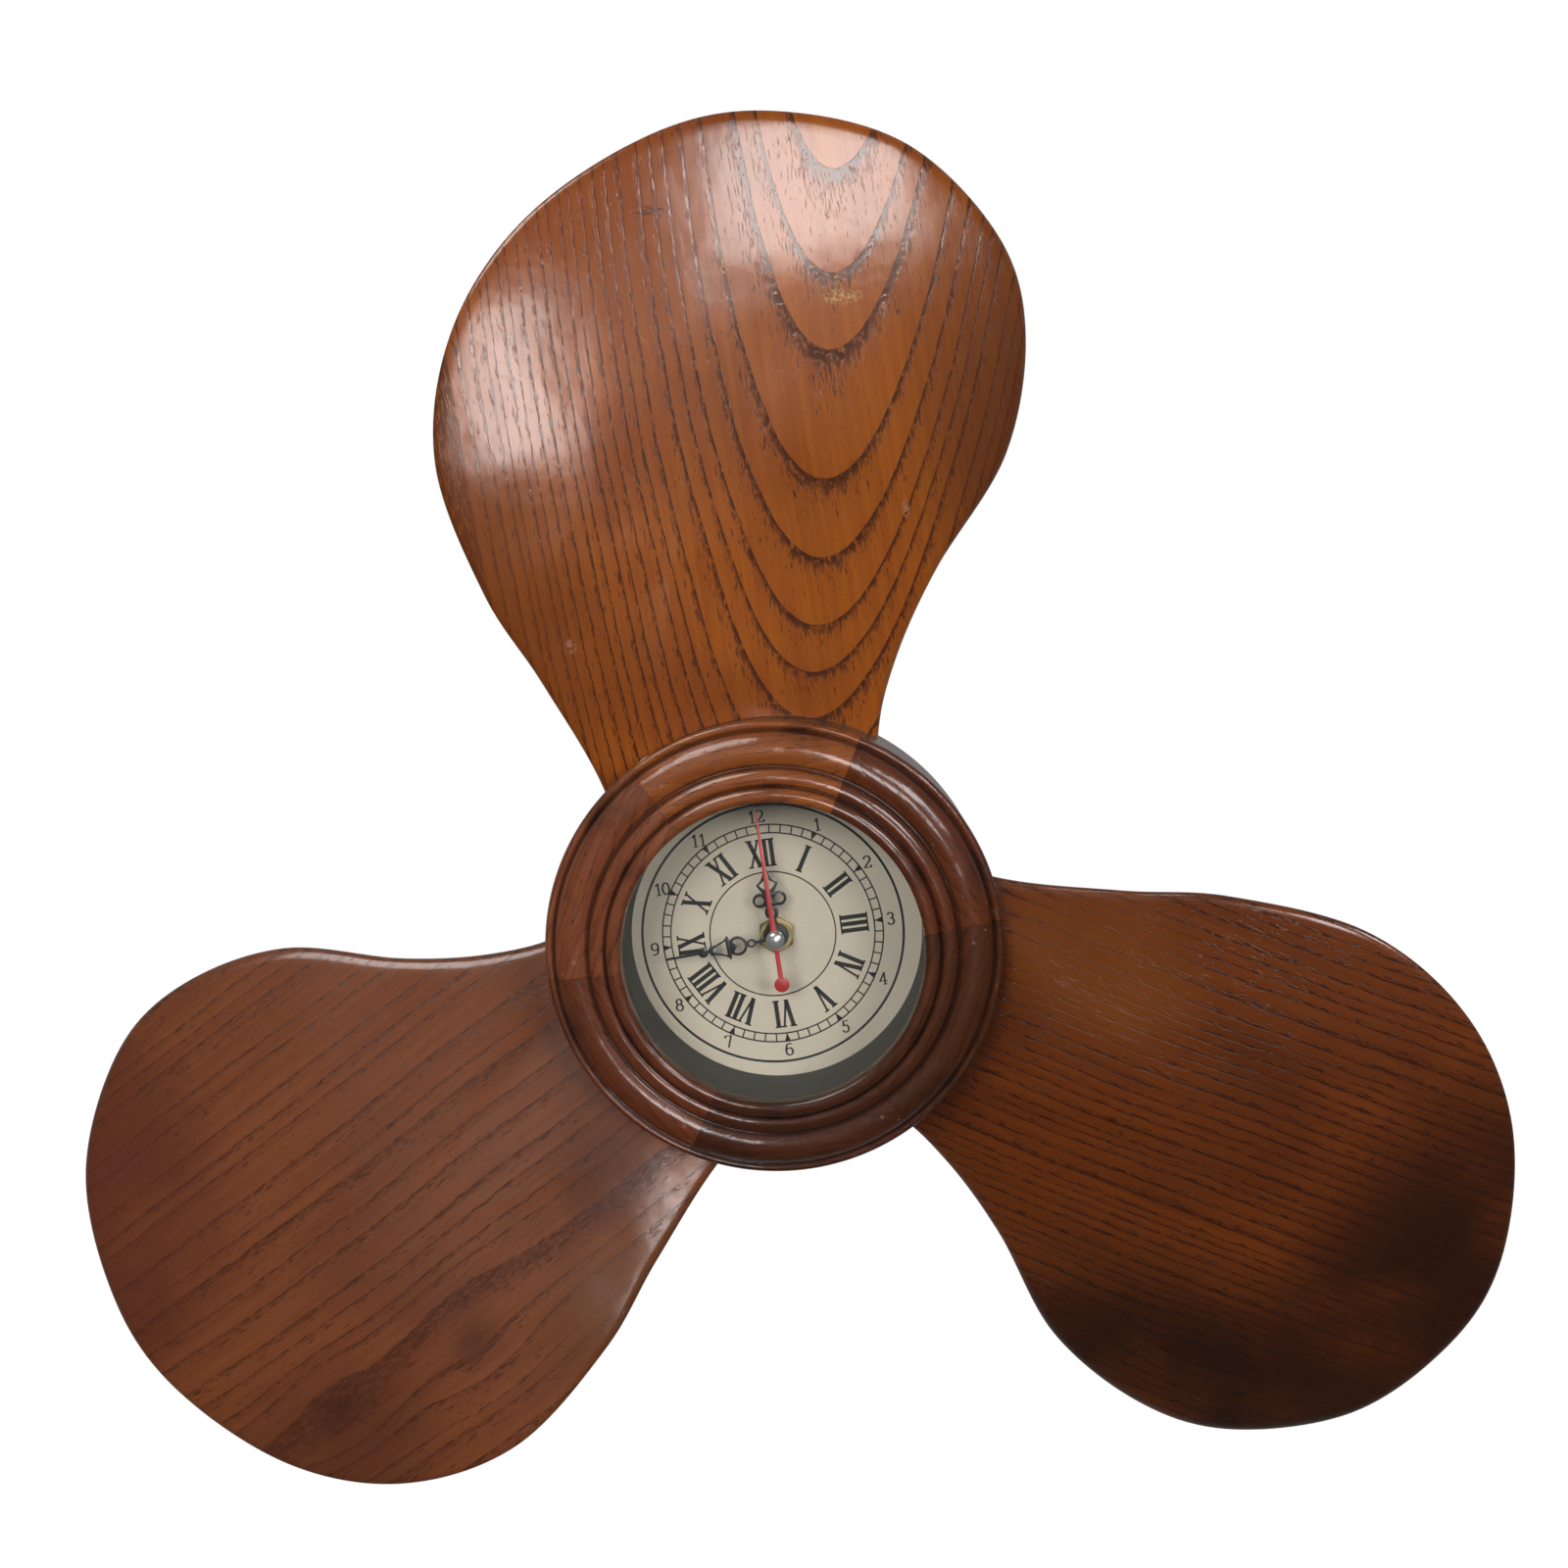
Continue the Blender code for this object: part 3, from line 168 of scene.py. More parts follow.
def rod(radius, low, high, steps=48, centre=(0, 0), chamfer=0.0):
    if chamfer:
        profile = [(0, low), (radius - chamfer, low), (radius, low + chamfer),
                   (radius, high - chamfer), (radius - chamfer, high), (0, high)]
    else:
        profile = [(0, low), (radius, low), (radius, high), (0, high)]
    return turned(profile, steps, centre)


def block(low, high, chamfer=0.0, segments=2):
    bm = bmesh.new()
    bmesh.ops.create_cube(bm, size=1)
    bmesh.ops.scale(bm, verts=bm.verts, vec=[high[axis] - low[axis] for axis in range(3)])
    middle = [(high[axis] + low[axis]) / 2 for axis in range(3)]
    bmesh.ops.translate(bm, verts=bm.verts, vec=middle)
    if chamfer:
        bmesh.ops.bevel(bm, geom=bm.edges[:], offset=chamfer, segments=segments, affect="EDGES")
    return bm


def plate(outline, low, high, holes=(), round_over=0.0):
    """A flat piece with holes, its edges rounded over."""
    curve = bpy.data.curves.new("outline", "CURVE")
    curve.dimensions = "2D"
    curve.fill_mode = "BOTH"
    curve.extrude = (high - low) / 2 - round_over
    curve.bevel_depth = round_over
    curve.bevel_resolution = 1
    curve.offset = -round_over
    for loop in (outline, *holes):
        spline = curve.splines.new("POLY")
        spline.points.add(len(loop) - 1)
        for point, (x, y) in zip(spline.points, loop):
            point.co = (x, y, 0, 1)
        spline.use_cyclic_u = True
    flat = bpy.data.objects.new("outline", curve)
    bpy.context.scene.collection.objects.link(flat)
    bm = evaluated_mesh(flat)
    bmesh.ops.remove_doubles(bm, verts=bm.verts, dist=1e-7)
    bmesh.ops.translate(bm, verts=bm.verts, vec=(0, 0, (low + high) / 2))
    return bm


def polar(distance, turn, origin=(0, 0)):
    return (origin[0] + distance * math.cos(turn), origin[1] + distance * math.sin(turn))


def circle(radius, sides=48, centre=(0, 0), start=0.0):
    return [polar(radius, start + math.tau * step / sides, centre) for step in range(sides)]


def smooth_path(points, steps_each):
    """Points along a smooth curve through the given ones."""
    path = []
    last = len(points) - 1
    for index in range(last):
        before = Vector(points[max(index - 1, 0)])
        start, end = Vector(points[index]), Vector(points[index + 1])
        after = Vector(points[min(index + 2, last)])
        for step in range(steps_each):
            t = step / steps_each
            path.append(0.5 * (
                2 * start
                + (end - before) * t
                + (2 * before - 5 * start + 4 * end - after) * t**2
                + (3 * start - before - 3 * end + after) * t**3
            ))
    path.append(Vector(points[last]))
    return path


def evenly(path, steps):
    """The path again, with evenly spaced points."""
    lengths = [0.0]
    for start, end in zip(path, path[1:]):
        lengths.append(lengths[-1] + (end - start).length)
    even = []
    index = 0
    for step in range(steps):
        wanted = lengths[-1] * step / (steps - 1)
        while index < len(path) - 2 and lengths[index + 1] < wanted:
            index += 1
        share = (wanted - lengths[index]) / (lengths[index + 1] - lengths[index])
        even.append(path[index].lerp(path[index + 1], min(share, 1.0)))
    return even


# ---------------------------------------------------------------- writing materials
class Recipe:
    """A node material, with short calls for what its pattern needs."""

    def __init__(self, name):
        self.look = bpy.data.materials.new(name)
        self.look.use_nodes = True
        self.tree = self.look.node_tree
        self.shader = self.tree.nodes["Principled BSDF"]
        self.object_place = self.tree.nodes.new("ShaderNodeTexCoord").outputs["Object"]

    def feed(self, socket, value):
        if isinstance(value, bpy.types.NodeSocket):
            self.tree.links.new(value, socket)
        else:
            socket.default_value = value

    def node(self, kind, output, **inputs):
        """A new node with its inputs fed. Returns one of its outputs."""
        made = self.tree.nodes.new(kind)
        for name, value in inputs.items():
            self.feed(made.inputs[name], value)
        return made.outputs[output]

    def constant(self, **values):
        """Settings that are the same all over, set on the shader's own sockets."""
        for name, value in values.items():
            self.shader.inputs[name.replace("_", " ")].default_value = value

    def calc(self, operation, first, second=0.0, third=0.0, clamp=False):
        made = self.tree.nodes.new("ShaderNodeMath")
        made.operation = operation
        made.use_clamp = clamp
        for socket, value in zip(made.inputs, (first, second, third)):
            self.feed(socket, value)
        return made.outputs[0]

    def placed(self, at=(0, 0, 0), turn=(0, 0, 0), size=(1, 1, 1)):
        """Object coordinates measured from a point, along turned axes."""
        made = self.tree.nodes.new("ShaderNodeMapping")
        made.vector_type = "TEXTURE"
        self.feed(made.inputs["Vector"], self.object_place)
        made.inputs["Location"].default_value = at
        made.inputs["Rotation"].default_value = turn
        made.inputs["Scale"].default_value = size
        return made.outputs[0]

    def stretched(self, place, scale):
        made = self.tree.nodes.new("ShaderNodeVectorMath")
        made.operation = "MULTIPLY"
        self.feed(made.inputs[0], place)
        made.inputs[1].default_value = scale
        return made.outputs[0]

    def split(self, place):
        made = self.tree.nodes.new("ShaderNodeSeparateXYZ")
        self.feed(made.inputs[0], place)
        return made.outputs[0], made.outputs[1], made.outputs[2]

    def join(self, x, y, z):
        made = self.tree.nodes.new("ShaderNodeCombineXYZ")
        for socket, value in zip(made.inputs, (x, y, z)):
            self.feed(socket, value)
        return made.outputs[0]

    def noise(self, place, scale=1.0, detail=2.0, roughness=0.5):
        return self.node("ShaderNodeTexNoise", "Fac", Vector=place, Scale=scale, Detail=detail,
                         Roughness=roughness)

    def times(self, first, second):
        return self.calc("MULTIPLY", first, second)

    def plus(self, first, second):
        return self.calc("ADD", first, second)

    def minus(self, first, second):
        return self.calc("SUBTRACT", first, second)

    def step(self, value, low, high):
        """0 below low and 1 above high, smoothly between, or the other way round."""
        made = self.tree.nodes.new("ShaderNodeMapRange")
        made.interpolation_type = "SMOOTHSTEP"
        falling = low > high if not isinstance(low, bpy.types.NodeSocket) else False
        first, last = (high, low) if falling else (low, high)
        self.feed(made.inputs["Value"], value)
        self.feed(made.inputs["From Min"], first)
        self.feed(made.inputs["From Max"], last)
        made.inputs["To Min"].default_value = 1.0 if falling else 0.0
        made.inputs["To Max"].default_value = 0.0 if falling else 1.0
        return made.outputs["Result"]

    def blend(self, share, first, second, kind="MIX"):
        made = self.tree.nodes.new("ShaderNodeMix")
        made.data_type = "RGBA"
        made.blend_type = kind
        self.feed(made.inputs["Factor"], share)
        for socket, value in ((made.inputs[6], first), (made.inputs[7], second)):
            self.feed(socket, (*value, 1) if isinstance(value, tuple) else value)
        return made.outputs[2]

    def ramp(self, value, stops):
        made = self.tree.nodes.new("ShaderNodeValToRGB")
        while len(made.color_ramp.elements) < len(stops):
            made.color_ramp.elements.new(0.5)
        for element, (position, grey) in zip(made.color_ramp.elements, stops):
            element.position = position
            element.color = (grey, grey, grey, 1)
        self.feed(made.inputs["Fac"], value)
        return made.outputs["Color"]

    def colour(self, value):
        self.feed(self.shader.inputs["Base Color"], (*value, 1) if isinstance(value, tuple) else value)

    def roughness(self, value):
        self.feed(self.shader.inputs["Roughness"], value)

    def bump(self, height, distance, strength=1.0, coat=False):
        made = self.tree.nodes.new("ShaderNodeBump")
        made.inputs["Distance"].default_value = distance
        made.inputs["Strength"].default_value = strength
        self.feed(made.inputs["Height"], height)
        self.tree.links.new(made.outputs[0], self.shader.inputs["Normal"])
        if coat:
            self.tree.links.new(made.outputs[0], self.shader.inputs["Coat Normal"])

    def spots(self, place, scale, detail, low, high):
        """Noise sharpened into spots, between two of its levels."""
        return self.step(self.noise(place, scale=scale, detail=detail), low, high)

    def tinted(self, colour, mask, share, tone):
        """The colour, taken towards another tone by a share of the mask."""
        return self.blend(self.times(mask, share), colour, tone)

    def away_squared(self, u, v, centre, size):
        """0 at a spot's middle and 1 at its edge, as a square. Also the share across it."""
        along = self.calc("DIVIDE", self.minus(u, centre[0]), size[0])
        across = self.calc("DIVIDE", self.minus(v, centre[1]), size[1])
        return self.plus(self.times(along, along), self.times(across, across)), across

    def patch(self, u, v, centre, size):
        """1 at a spot on the surface, fading to 0 at its edge."""
        return self.step(self.away_squared(u, v, centre, size)[0], 1.0, 0.0)


SHAFT = (0, 0, SHAFT_Z)


def ring_age(recipe, field, rings):
    """Counts growth rings: a whole number is passed at each of the given distances."""
    first, last = rings[0], rings[-1]
    share = recipe.calc("DIVIDE", recipe.minus(field, first), last - first, clamp=True)
    stops = [
        ((ring - first) / (last - first), index / (len(rings) - 1))
        for index, ring in enumerate(rings)
    ]
    return recipe.times(recipe.ramp(share, stops), len(rings) - 1)


def even_age(recipe, field, width, wander):
    """Growth rings of about one width, which drift wider and narrower."""
    drift = recipe.noise(recipe.join(recipe.times(field, wander), 0.0, 0.0), detail=1)
    return recipe.plus(recipe.calc("DIVIDE", field, width), recipe.times(drift, 3.0))


# Noise in the wood, in repeats for each metre along the grain, into it and across it.
WOBBLE_SCALE = (190.0, 0.0, 330.0)
VESSEL_SCALE = (230.0, 600.0, 1900.0)
DASH_SCALE = (420.0, 0.0, 500.0)
STREAK_SCALE = (14.0, 40.0, 420.0)
CLOUD_SCALE = 16.0
# A ring starts with large pores, and they thin out as it ages from 0 to 1.
EARLY_WOOD_FALL = 2.6
RING_LINE_START = 0.02
RING_LINE_END = (0.24, 0.06)
PORE_LEVEL = 0.655
PORE_LEVEL_DROP = 0.24
PORE_SOFTNESS = 0.07
PORE_INK = 0.72
LINE_INK = 0.85


def wood_body(recipe, place, age, tones, pore_share=1.0, line_share=1.0):
    """Colour, pores and fibres of ring-porous wood. Returns its colour and its pore depth."""
    young = recipe.calc("FRACT", age)
    fade = recipe.calc("POWER", recipe.minus(1.0, young), EARLY_WOOD_FALL)
    wobble = recipe.noise(recipe.stretched(place, WOBBLE_SCALE))
    swollen = recipe.times(young, recipe.calc("MULTIPLY_ADD", wobble, 2.4, -0.1))
    edge = recipe.times(recipe.step(young, 0.0, RING_LINE_START), recipe.step(swollen, *RING_LINE_END))
    vessels = recipe.noise(recipe.stretched(place, VESSEL_SCALE), roughness=0.6)
    threshold = recipe.minus(PORE_LEVEL, recipe.times(fade, PORE_LEVEL_DROP * pore_share))
    pore = recipe.step(vessels, threshold, recipe.plus(threshold, PORE_SOFTNESS))
    dashes = recipe.noise(recipe.stretched(place, DASH_SCALE), detail=1)
    line = recipe.times(recipe.times(edge, recipe.step(dashes, 0.36, 0.54)), line_share)
    streaks = recipe.noise(recipe.stretched(place, STREAK_SCALE), detail=3.0, roughness=0.6)
    light, middle, dark, ink = tones
    colour = recipe.blend(recipe.step(streaks, 0.25, 0.75), light, middle)
    colour = recipe.tinted(colour, recipe.spots(place, CLOUD_SCALE, 3.0, 0.42, 0.72), 0.55, dark)
    colour = recipe.tinted(colour, fade, 0.30, dark)
    mark = recipe.calc("MAXIMUM", recipe.times(pore, PORE_INK), recipe.times(line, LINE_INK))
    return recipe.blend(mark, colour, ink), mark


# The varnish's skin: fine waves, brush marks and broad swells, with the pores sunk in it.
WAVE_SCALE = 95.0
BRUSH_SCALE = (60.0, 260.0, 420.0)
BRUSH_HEIGHT = 0.2
BRUSH_ROUGHNESS = 0.18
SWELL_SCALE = 30.0
SWELL_HEIGHT = 5.0
PORE_SINK = 0.30


def varnished(recipe, colour, mark, place, gloss=0.8, rough=0.55, coat_rough=0.175, uneven=0.00012):
    """Brushed varnish over wood: pores sink in it, and its skin is a little wavy."""
    waves = recipe.noise(place, scale=WAVE_SCALE)
    brush = recipe.noise(recipe.stretched(place, BRUSH_SCALE))
    swells = recipe.noise(place, scale=SWELL_SCALE, detail=1.0)
    brushed = recipe.calc("MULTIPLY_ADD", brush, BRUSH_HEIGHT, waves)
    skin = recipe.calc("MULTIPLY_ADD", swells, SWELL_HEIGHT, brushed)
    recipe.colour(colour)
    recipe.roughness(recipe.plus(rough, recipe.times(brush, BRUSH_ROUGHNESS)))
    recipe.constant(Coat_Weight=gloss, Coat_Roughness=coat_rough, Coat_IOR=1.5, Specular_IOR_Level=0.1)
    recipe.bump(recipe.minus(skin, recipe.times(mark, PORE_SINK)), uneven, coat=True)
    return recipe.look


def blade_place(recipe, angle, wander=0.0016):
    """Coordinates along the blade, into the wall and across the blade, a little warped."""
    place = recipe.placed(SHAFT, (0, -angle, 0))
    u, depth, v = recipe.split(place)
    sway = recipe.minus(recipe.noise(place, scale=11.0), 0.5)
    quiver = recipe.minus(recipe.noise(place, scale=130.0), 0.5)
    moved = recipe.plus(recipe.times(sway, 2 * wander), recipe.times(quiver, wander * 0.45))
    return recipe.join(u, depth, recipe.plus(v, moved))


# The top blade is sawn through the side of the log: its rings show as nested arches.
ARCH_HALF_WAY = 0.160
ARCH_CENTRE = -0.0426
ARCH_LEAN = -0.1914
ARCH_BEND = 0.136
ARCH_DEPTH = 0.060
ARCH_TAPER = 0.1437
ARCH_FLARE = 0.2934
ARCH_SKEW = -0.364
ARCH_RINGS = [mm * MM for mm in (
    47.0, 50.4, 53.8, 56.6, 62.2, 66.1, 69.8, 72.5, 75.3, 79.6, 82.6, 85.0, 88.1, 91.0, 93.2, 96.4,
    98.6, 101.7, 104.5, 107.4, 109.4, 112.6, 114.4, 117.5, 121.0, 124.5,
)]


def arch_field(recipe, u, v):
    """Distance from the log's heart, less its taper, on the face of the plank."""
    up = recipe.minus(u, ARCH_HALF_WAY)
    up_squared = recipe.times(up, up)
    bend = recipe.plus(recipe.times(up, ARCH_LEAN), recipe.times(up_squared, ARCH_BEND))
    side = recipe.minus(v, recipe.plus(ARCH_CENTRE, bend))
    skewed = recipe.plus(1.0, recipe.times(side, ARCH_SKEW))
    squared = recipe.times(recipe.times(side, side), skewed)
    reach = recipe.calc("SQRT", recipe.plus(squared, ARCH_DEPTH**2))
    taper = recipe.minus(recipe.times(up, ARCH_TAPER), recipe.times(up_squared, ARCH_FLARE))
    return recipe.minus(reach, taper)


# Where the top blade is stained, with painted shade down its right side as the second entry: (place, size,
# share, tone).
TOP_STAINS_AND_SHADE = [
    ((0.235, 0.015), (0.055, 0.060), 0.45, (0.23, 0.044, 0.010)),
    ((0.130, -0.115), (0.120, 0.055), 0.80, (0.105, 0.026, 0.007)),
    ((0.120, 0.075), (0.100, 0.045), 0.60, (0.21, 0.052, 0.010)),
]
# One scuff and three flecks: (place, size, levels of the noise that breaks them up, share, tone).
SCUFF_TONE = (0.62, 0.42, 0.13)
FLECK_TONE = (0.50, 0.26, 0.17)
TOP_SPECKS = [
    ((0.2005, -0.0530), (0.0030, 0.0080), (0.46, 0.56), 0.8, SCUFF_TONE),
    ((0.1325, -0.0635), (0.0040, 0.0016), (0.42, 0.52), 0.7, FLECK_TONE),
    ((0.195, -0.0655), (0.0030, 0.0020), (0.42, 0.52), 0.7, FLECK_TONE),
    ((0.105, 0.048), (0.0030, 0.0020), (0.42, 0.52), 0.7, FLECK_TONE),
]


def top_blade_wood(angle):
    recipe = Recipe("top_blade_varnished_wood")
    place = blade_place(recipe, angle)
    u, _, v = recipe.split(place)
    age = ring_age(recipe, arch_field(recipe, u, v), ARCH_RINGS)
    tones = ((0.50, 0.132, 0.008), (0.39, 0.090, 0.007), (0.23, 0.048, 0.006), (0.034, 0.010, 0.005))
    colour, mark = wood_body(recipe, place, age, tones)
    # The second patch is painted shade on the blade's right side.
    for centre, size, share, tone in TOP_STAINS_AND_SHADE:
        colour = recipe.tinted(colour, recipe.patch(u, v, centre, size), share, tone)
    speck = recipe.noise(place, scale=900.0)
    for centre, size, levels, share, tone in TOP_SPECKS:
        broken = recipe.times(recipe.patch(u, v, centre, size), recipe.step(speck, *levels))
        colour = recipe.tinted(colour, broken, share, tone)
    dent_noise = recipe.noise(recipe.stretched(place, (900, 100, 300)))
    dent_place = recipe.patch(u, v, (0.231, 0.002), (0.0030, 0.0085))
    dent = recipe.times(dent_place, recipe.step(dent_noise, 0.45, 0.6))
    colour = recipe.tinted(colour, dent, 0.7, (0.06, 0.015, 0.012))
    return varnished(recipe, colour, mark, place)


def knot_field(recipe, u, v, field, knots):
    """Straight rings that part round each knot. Returns the field and how dark the knots are."""
    shade = 0.0
    for centre, size, darkness in knots:
        squared, across = recipe.away_squared(u, v, centre, size)
        near = recipe.calc("EXPONENT", recipe.times(squared, -1.0))
        pull = recipe.times(recipe.times(across, near), -size[1] * 0.8)
        field = recipe.plus(field, pull)
        core = recipe.times(recipe.calc("EXPONENT", recipe.times(squared, -7.0)), darkness)
        shade = recipe.plus(shade, core)
    return field, shade


def straight_blade_wood(name, angle, tones, ring_width, lean, knots, stains_and_shade, pore_share):
    """A blade with its grain along it, darker knots and clouded patches: stains, and on the right blade
    painted shade.
    """
    recipe = Recipe(name)
    place = blade_place(recipe, angle, 0.0026)
    u, _, v = recipe.split(place)
    field, shade = knot_field(recipe, u, v, recipe.plus(v, recipe.times(u, lean)), knots)
    age = even_age(recipe, field, ring_width, 55.0)
    colour, mark = wood_body(recipe, place, age, tones, pore_share=pore_share, line_share=0.45)
    cloud = recipe.spots(place, 24.0, 3.0, 0.02, 0.58)
    # Patches of stain, and on the right blade patches of painted shade, broken up by the cloud noise.
    for centre, size, share, stain in stains_and_shade:
        spread = recipe.times(recipe.patch(u, v, centre, size), share)
        colour = recipe.blend(recipe.times(spread, cloud), colour, stain)
    colour = recipe.blend(recipe.calc("MINIMUM", shade, 0.75), colour, tones[3])
    return varnished(recipe, colour, mark, place)


def turned_wood(name, tones, angle, seed=0.0, grooves=()):
    """Wood of one wedge of the ring or of the hub, its grain along the wedge's chord."""
    recipe = Recipe(name)
    place = recipe.placed(SHAFT, (0, -angle, 0))
    u, depth, v = recipe.split(place)
    sway = recipe.minus(recipe.noise(place, scale=24.0), 0.5)
    radius = recipe.calc("SQRT", recipe.plus(recipe.times(u, u), recipe.times(v, v)))
    u = recipe.plus(recipe.plus(u, seed), recipe.times(sway, 0.006))
    age = even_age(recipe, recipe.plus(u, recipe.times(depth, 0.7)), 0.0034, 60.0)
    colour, mark = wood_body(recipe, recipe.join(v, depth, u), age, tones, pore_share=0.35, line_share=0.3)
    grime = recipe.spots(place, 46.0, 4.0, 0.50, 0.72)
    colour = recipe.tinted(colour, grime, 0.5, tones[3])
    # Painted shade in the grooves: a band round each groove's radius is darkened nearly to black, broken up a
    # little by the grime noise.
    for groove, reach in grooves:
        away = recipe.calc("ABSOLUTE", recipe.minus(radius, groove))
        groove_shade = recipe.times(recipe.step(away, reach, reach * 0.2),
                              recipe.calc("MULTIPLY_ADD", grime, 0.3, 0.62))
        colour = recipe.blend(groove_shade, colour, (0.012, 0.005, 0.004))
    chips = recipe.times(recipe.spots(place, 420.0, 3.0, 0.68, 0.72),
                         recipe.spots(place, 30.0, 1.0, 0.52, 0.62))
    colour = recipe.tinted(colour, chips, 0.65, (0.55, 0.32, 0.22))
    return varnished(recipe, colour, mark, place, gloss=0.7, rough=0.50, coat_rough=0.17, uneven=0.00024)


def plain_look(name, colour, rough, metallic=0.0, grain_scale=600.0, grain_share=0.12, relief=0.00002,
               **constants):
    """A finish with a fine mottle in its colour and roughness and a fine texture."""
    recipe = Recipe(name)
    fine = recipe.noise(recipe.object_place, scale=grain_scale, detail=3.0)
    worn = recipe.noise(recipe.object_place, scale=grain_scale / 14, detail=2.0)
    darker = tuple(part * (1 - grain_share) for part in colour)
    lighter = tuple(min(part * (1 + grain_share), 1.0) for part in colour)
    mottle = recipe.calc("MULTIPLY_ADD", worn, 0.6, recipe.times(fine, 0.4))
    recipe.colour(recipe.blend(mottle, darker, lighter))
    recipe.roughness(recipe.calc("MULTIPLY_ADD", fine, 0.16, rough - 0.08))
    recipe.constant(Metallic=metallic, **constants)
    recipe.bump(fine, relief)
    return recipe.look


def paper_look():
    """Cream card with a faint laid texture and a little foxing."""
    recipe = Recipe("cream_dial_card")
    turned_place = recipe.placed(SHAFT, (0, 0.5, 0))
    laid = recipe.noise(recipe.stretched(turned_place, (260.0, 400.0, 1400.0)), detail=3.0)
    pulp = recipe.noise(recipe.object_place, scale=1500.0, detail=3.0)
    foxing = recipe.spots(recipe.object_place, 45.0, 5.0, 0.45, 0.75)
    mixed = recipe.calc("MULTIPLY_ADD", laid, 0.5, recipe.times(pulp, 0.5))
    tone = recipe.blend(mixed, (0.74, 0.655, 0.50), (0.84, 0.75, 0.585))
    recipe.colour(recipe.tinted(tone, foxing, 0.3, (0.64, 0.54, 0.38)))
    recipe.roughness(recipe.calc("MULTIPLY_ADD", pulp, 0.1, 0.72))
    recipe.bump(recipe.calc("MULTIPLY_ADD", pulp, 0.4, laid), 0.00014)
    return recipe.look


def glass_look():
    """Thin clear glass, with a trace of dust, that lets the dial show."""
    recipe = Recipe("clear_window_glass")
    dust = recipe.spots(recipe.object_place, 700.0, 2.0, 0.60, 0.80)
    recipe.colour((0.9, 0.93, 0.92))
    recipe.feed(recipe.shader.inputs["Alpha"], recipe.calc("MULTIPLY_ADD", dust, 0.02, 0.010))
    recipe.roughness(recipe.calc("MULTIPLY_ADD", dust, 0.15, 0.03))
    recipe.constant(Specular_IOR_Level=0.35)
    return recipe.look


def brushed_metal(name, colour, rough, stretch=(900.0, 120.0, 120.0), tarnish=0.25):
    recipe = Recipe(name)
    lines = recipe.noise(recipe.stretched(recipe.object_place, stretch), detail=3.0)
    stain = recipe.noise(recipe.object_place, scale=220.0, detail=3.0)
    dull = tuple(part * 0.55 for part in colour)
    recipe.colour(recipe.tinted(colour, recipe.step(stain, 0.4, 0.75), tarnish, dull))
    recipe.roughness(recipe.calc("MULTIPLY_ADD", lines, 0.2, rough - 0.08))
    recipe.constant(Metallic=1.0)
    recipe.bump(lines, 0.00002)
    return recipe.look


def coil_look():
    """Fine enamelled wire wound round the core, one turn beside the next."""
    recipe = Recipe("wound_copper_wire")
    x = recipe.split(recipe.object_place)[0]
    turns = recipe.calc("SINE", recipe.times(x, 42000.0))
    recipe.colour(recipe.blend(recipe.step(turns, -0.8, 0.8), (0.28, 0.09, 0.03), (0.72, 0.30, 0.12)))
    recipe.roughness(recipe.calc("MULTIPLY_ADD", turns, 0.05, 0.32))
    recipe.constant(Metallic=1.0)
    recipe.bump(turns, 0.00006)
    return recipe.look


def battery_look(middle_x):
    """Plain wrapped cell: dark sleeve, copper-coloured end."""
    recipe = Recipe("wrapped_dry_cell")
    along = recipe.minus(recipe.split(recipe.object_place)[0], middle_x)
    end = recipe.step(along, 11.8 * MM, 12.0 * MM)
    scratch = recipe.noise(recipe.stretched(recipe.object_place, (80.0, 900.0, 900.0)), detail=2.0)
    recipe.colour(recipe.blend(end, (0.020, 0.020, 0.023), (0.55, 0.27, 0.10)))
    recipe.feed(recipe.shader.inputs["Metallic"], recipe.times(end, 0.85))
    recipe.roughness(recipe.calc("MULTIPLY_ADD", scratch, 0.15, 0.22))
    return recipe.look


BLACK_LACQUER = plain_look("black_hand_lacquer", (0.010, 0.010, 0.011), 0.38, grain_scale=1500.0)
RED_LACQUER = plain_look("red_hand_lacquer", (0.52, 0.022, 0.016), 0.36, grain_scale=1500.0)
PRINT_INK = plain_look("black_dial_ink", (0.010, 0.009, 0.008), 0.62, grain_scale=2500.0, grain_share=0.3)
SLEEVE_CARD = plain_look("grey_lining_card", (0.046, 0.048, 0.040), 0.62, grain_scale=900.0, grain_share=0.25,
                         relief=0.00008)
BLACK_PLASTIC = plain_look("moulded_black_plastic", (0.016, 0.016, 0.017), 0.42, grain_scale=2200.0,
                           relief=0.00003)
WHITE_PLASTIC = plain_look("moulded_white_plastic", (0.72, 0.71, 0.67), 0.38, grain_scale=1800.0,
                           grain_share=0.04)
RUBBER = plain_look("black_rubber", (0.022, 0.022, 0.022), 0.8, grain_scale=1400.0, relief=0.00006)
BOARD = plain_look("grey_back_board", (0.30, 0.21, 0.13), 0.8, grain_scale=700.0, grain_share=0.25,
                   relief=0.0001)
CIRCUIT = plain_look("green_circuit_board", (0.020, 0.15, 0.055), 0.35, grain_scale=900.0)
MAGNET = plain_look("dark_magnet", (0.05, 0.05, 0.052), 0.45, grain_scale=1200.0)
DOWEL_WOOD = plain_look("pale_dowel_wood", (0.50, 0.34, 0.18), 0.6, grain_scale=400.0, grain_share=0.2)
BRASS = brushed_metal("aged_brass", (0.42, 0.33, 0.15), 0.42, tarnish=0.8)
STEEL = brushed_metal("plated_steel", (0.56, 0.57, 0.58), 0.34)
CHROME = plain_look("polished_chrome", (0.62, 0.62, 0.63), 0.24, 0.62, grain_scale=1500.0, grain_share=0.04)
PAPER = paper_look()
GLASS = glass_look()
COIL = coil_look()

